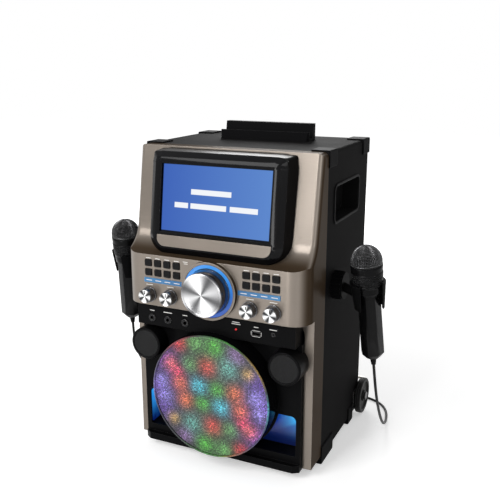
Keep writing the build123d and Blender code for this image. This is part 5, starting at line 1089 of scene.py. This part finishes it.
faces_where(wire_ball, lambda at, normal: at.z < -6.5 * MM)
bpy.ops.mesh.delete(type="FACE")
bpy.ops.object.mode_set(mode="OBJECT")
wires = wire_ball.modifiers.new("wires", "WIREFRAME")
wires.thickness = 0.62 * MM
bpy.ops.object.modifier_apply(modifier="wires")
wire_ball.data.materials.append(wire_black)
# The light edge colour of the band is a painted highlight along its edges.
band_lacquer = finish("band_lacquer", (0.006, 0.006, 0.006), 0.2, shine=0.1, scale=900, depth=0.006, tone=0.2,
                      radius=0.3, wear_and_glint_amount=0.7, wear_and_glint_colour=(0.4, 0.4, 0.4))
FOAM = [(-8, 0), (-8, 22), (-6, 26.6), (0, 27.6), (7, 26.7), (14, 23.8), (20, 19), (24.5, 12.6),
        (27, 5.6), (27.5, 0)]
foam = turned_piece("foam", FOAM, (0, 0, 0), "-y", 40)
foam.data.transform(Matrix.Rotation(-pi / 2, 4, "X") @ Matrix.Translation((0, -FRONT, 0)))
foam.data.materials.append(head_foam)
BAND = [(-6, 27.0), (-6, 28.2), (-5.4, 28.9), (-3.4, 28.95), (-3.1, 28.4), (-1.2, 28.4), (-0.9, 28.95),
        (1.0, 28.95), (1.5, 28.2), (1.5, 27.0), (-6, 27.0)]
band = turned_piece("band", BAND, (0, 0, 0), "-y", 54)
band.data.transform(Matrix.Rotation(-pi / 2, 4, "X") @ Matrix.Translation((0, -FRONT, 0)))
band.data.materials.append(band_lacquer)
HEAD_SHARE = 0.907
HEAD_DROP = 9 * MM
head_fit = Matrix.Translation((0, 0, -HEAD_DROP)) @ Matrix.Scale(HEAD_SHARE, 4)
for side, hand in ((1, "right"), (-1, "left")):
    mirror_across = Matrix.Diagonal((side, 1, 1, 1))
    place = Matrix.Translation((side * 231.5 * MM, FRONT + 10 * MM, 389 * MM)) @ mirror_across @ MIC_TURN

    def slim_neck(point):
        """The neck above the clip, drawn in and down to the size of the head."""
        own = place.inverted() @ point
        share = (own.z + 39 * MM) / (33 * MM)
        if share <= 0:
            return point
        own.z = (24 * share - 39) * MM
        narrower = 1 - 0.065 * min(share, 1)
        own.x *= narrower
        own.y *= narrower
        return place @ own

    reshaped("mic_body_" + hand, "handle_" + hand, hand + "_microphone", mic_lacquer, slim_neck)
    for label, source in (("wire_ball_", wire_ball), ("foam_ball_", foam), ("head_band_", band)):
        piece = source.copy()
        piece.data = source.data.copy()
        bpy.context.scene.collection.objects.link(piece)
        piece.data.transform(place @ head_fit)
        if side < 0:
            piece.data.flip_normals()
        settle(piece, label + hand, hand + "_microphone", "mic_head_" + hand)
for source in (wire_ball, foam, band):
    bpy.data.objects.remove(source)


# ---------------------------------------------------------------- microphone cords
# A limp black cord of 5 mm and 2.08 m runs from each handle's boot down to the floor and behind
# the cabinet, where its spare length is wound in two layers of turns and ends in a plug.

CORD_RADIUS = 2.5
COIL_MIDDLE = (48, 318)
COIL_TURNS = 4
COIL_OUTER = 17 + COIL_TURNS * 6.2
COIL_CLIMB = 0.375
COIL_END = 2 * COIL_TURNS + COIL_CLIMB + 0.125
MIC_UP = Vector((-12.5, -28, 184)).normalized()
MIC_HEAD = Vector((231.5, 10, 389))


def coil_point(turn):
    """The coil's line: turns inwards on the floor, a climb, then turns outwards on top."""
    inward = min(turn, COIL_TURNS)
    climb = min(max(turn - COIL_TURNS, 0) / COIL_CLIMB, 1)
    outward = max(turn - COIL_TURNS - COIL_CLIMB, 0)
    radius = COIL_OUTER - 6.2 * (inward - outward)
    angle = -pi / 2 - 2 * pi * turn
    return (COIL_MIDDLE[0] + radius * cos(angle), COIL_MIDDLE[1] + radius * sin(angle),
            CORD_RADIUS + 5.8 * climb * climb * (3 - 2 * climb))


def cord_route():
    """The right cord from its boot to its plug, in mm from the cabinet's front edge."""
    route = [tuple(MIC_HEAD - 201 * MIC_UP), tuple(MIC_HEAD - 239 * MIC_UP), (248.6, 58, 120),
             (248, 78, 89), (246, 104, 60), (243, 134, 34), (239, 168, 13), (234, 206, 2.5),
             (225, 242, 2.5), (206, 269, 2.5), (177, 283, 2.5), (142, 284, 2.5),
             (98, 276.2, 2.5), (60, 276.2, 2.5)]
    steps = 16
    route += [coil_point(step / steps) for step in range(int(COIL_END * steps) + 1)]
    last = coil_point(COIL_END)
    route.append((last[0] + 16, last[1], last[2]))
    route.append((last[0] + 32, last[1], last[2]))
    return route


cord_rubber = finish("cord_rubber", (0.006, 0.006, 0.006), 0.45, shine=0.2, scale=3000, depth=0.02)
plug_metal = finish("plug_metal", (0.62, 0.60, 0.56), 0.22, metallic=1.0, scale=900,
                    stretch=(0.05, 1, 1), depth=0.01, tone=0.1, radius=0.3, wear_and_glint_amount=0.2, wear_and_glint_colour=(0.8, 0.8, 0.8))


PLUG = [(0, 0), (0, 3.2), (3, 4.6), (5, 4.6), (5.6, 7.0), (6.8, 7.6), (30, 7.6), (31.5, 7.0),
        (32, 6.2), (37.4, 6.2), (38, 5.6), (38, 3.15), (62, 3.15), (62.6, 2.35), (63.4, 2.35),
        (64, 3.0), (66.5, 1.6), (68, 0.6), (68, 0)]
for side, hand in ((1, "right"), (-1, "left")):
    points = [(side * x * MM, FRONT + y * MM, z * MM) for x, y, z in cord_route()]
    curve = bpy.data.curves.new("cord_line_" + hand, "CURVE")
    curve.dimensions = "3D"
    curve.bevel_resolution = 4
    curve.resolution_u = 6
    curve.use_fill_caps = True
    spline = curve.splines.new("NURBS")
    spline.points.add(len(points) - 1)
    for point, place in zip(spline.points, points):
        point.co = (*place, 1)
    spline.order_u = 3
    spline.use_endpoint_u = True
    line = bpy.data.objects.new("cord_line_" + hand, curve)
    bpy.context.scene.collection.objects.link(line)
    middle_line = bpy.data.meshes.new_from_object(line)
    curve.bevel_depth = CORD_RADIUS * MM
    bpy.context.view_layer.update()
    skin = bpy.data.meshes.new_from_object(line.evaluated_get(bpy.context.evaluated_depsgraph_get()))
    cord = bpy.data.objects.new("microphone_cord_" + hand, skin)
    bpy.context.scene.collection.objects.link(cord)
    bpy.data.objects.remove(line)
    skin.materials.clear()
    skin.materials.append(cord_rubber)
    skin.polygons.foreach_set("use_smooth", [True] * len(skin.polygons))
    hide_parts("cord_coil_" + hand, "mic_cords")
    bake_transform(cord)
    end = cord_route()[-1]
    plug = turned_piece("cord_plug_" + hand, PLUG, (side * end[0], end[1], end[2]),
                        "x" if side == 1 else "-x", 36)
    plug.data.materials.append(plug_metal)
    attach(plug, "pedestal")
    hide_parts("mic_plugs")


# ---------------------------------------------------------------- floor, light and camera
# A white sweep under soft studio light, seen from the right at the height of the screen.

bpy.ops.object.select_all(action="DESELECT")
bpy.ops.mesh.primitive_plane_add(size=12, location=(0, 0, 0))
floor = bpy.context.object
floor.name = "studio_floor"
floor_paper = bpy.data.materials.new("floor_paper")
floor_paper.use_nodes = True
paper = floor_paper.node_tree
paper_shader = paper.nodes["Principled BSDF"]
paper_shader.inputs["Base Color"].default_value = (0.9, 0.9, 0.9, 1)
paper_shader.inputs["Roughness"].default_value = 1.0
paper_shader.inputs["Specular IOR Level"].default_value = 0.0
paper_shader.inputs["Emission Color"].default_value = (1, 1, 1, 1)
seen_by = paper.nodes.new("ShaderNodeLightPath")
looked_at = math_node(paper, "MAXIMUM", seen_by.outputs["Is Camera Ray"], seen_by.outputs["Is Glossy Ray"])
looked_at = math_node(paper, "MAXIMUM", looked_at, seen_by.outputs["Is Transmission Ray"])
spot = paper.nodes.new("ShaderNodeTexCoord")
away = paper.nodes.new("ShaderNodeVectorMath")
away.operation = "LENGTH"
paper.links.new(spot.outputs["Object"], away.inputs[0])
lift = paper.nodes.new("ShaderNodeMapRange")
lift.interpolation_type = "SMOOTHSTEP"
for label, value in (("From Min", 0.35), ("From Max", 1.6), ("To Min", 0.40), ("To Max", 0.64)):
    lift.inputs[label].default_value = value
paper.links.new(away.outputs["Value"], lift.inputs["Value"])
paper.links.new(math_node(paper, "MULTIPLY", looked_at, lift.outputs["Result"]),
                paper_shader.inputs["Emission Strength"])
floor.data.materials.append(floor_paper)

world = bpy.data.worlds.new("studio")
bpy.context.scene.world = world
world.use_nodes = True
sky = world.node_tree
background = sky.nodes["Background"]
background.inputs["Strength"].default_value = 0.45
background.inputs["Color"].default_value = (1, 1, 1, 1)
seen = sky.nodes.new("ShaderNodeBackground")
seen.inputs["Strength"].default_value = 1.0
seen.inputs["Color"].default_value = (1, 1, 1, 1)
ray = sky.nodes.new("ShaderNodeLightPath")
looked_out = math_node(sky, "MAXIMUM", ray.outputs["Is Camera Ray"], ray.outputs["Is Glossy Ray"])
looked_out = math_node(sky, "MAXIMUM", looked_out, ray.outputs["Is Transmission Ray"])
choice = sky.nodes.new("ShaderNodeMixShader")
sky.links.new(looked_out, choice.inputs["Fac"])
sky.links.new(background.outputs["Background"], choice.inputs[1])
sky.links.new(seen.outputs["Background"], choice.inputs[2])
sky.links.new(choice.outputs["Shader"], sky.nodes["World Output"].inputs["Surface"])

for label, place, wide, high, power in (("key_light", (-0.9, -1.9, 1.9), 1.0, 1.0, 26),
                                        ("strip_light", (-0.38, -2.29, 0.9), 0.3, 1.7, 20),
                                        ("side_light", (2.0, -1.9, 1.0), 0.7, 0.7, 6),
                                        ("back_light", (-0.8, 2.3, 1.4), 0.9, 0.9, 24)):
    lamp = bpy.data.lights.new(label, "AREA")
    lamp.shape = "RECTANGLE"
    lamp.size = wide
    lamp.size_y = high
    lamp.energy = power
    holder = bpy.data.objects.new(label, lamp)
    bpy.context.scene.collection.objects.link(holder)
    holder.location = place
    holder.rotation_mode = "QUATERNION"
    holder.rotation_quaternion = (Vector((0, 0, 0.3)) - Vector(place)).to_track_quat("-Z", "Y")

lens = bpy.data.cameras.new("camera")
lens.sensor_width = 36
lens.lens = 51.154
camera = bpy.data.objects.new("camera", lens)
bpy.context.scene.collection.objects.link(camera)
camera.location = (0.5249, -1.13745, 0.6909)
camera.rotation_euler = (radians(90 - 14.855), 0, radians(24.797))
bpy.context.scene.camera = camera
bpy.context.scene.view_settings.view_transform = "Standard"

bpy.context.view_layer.update()
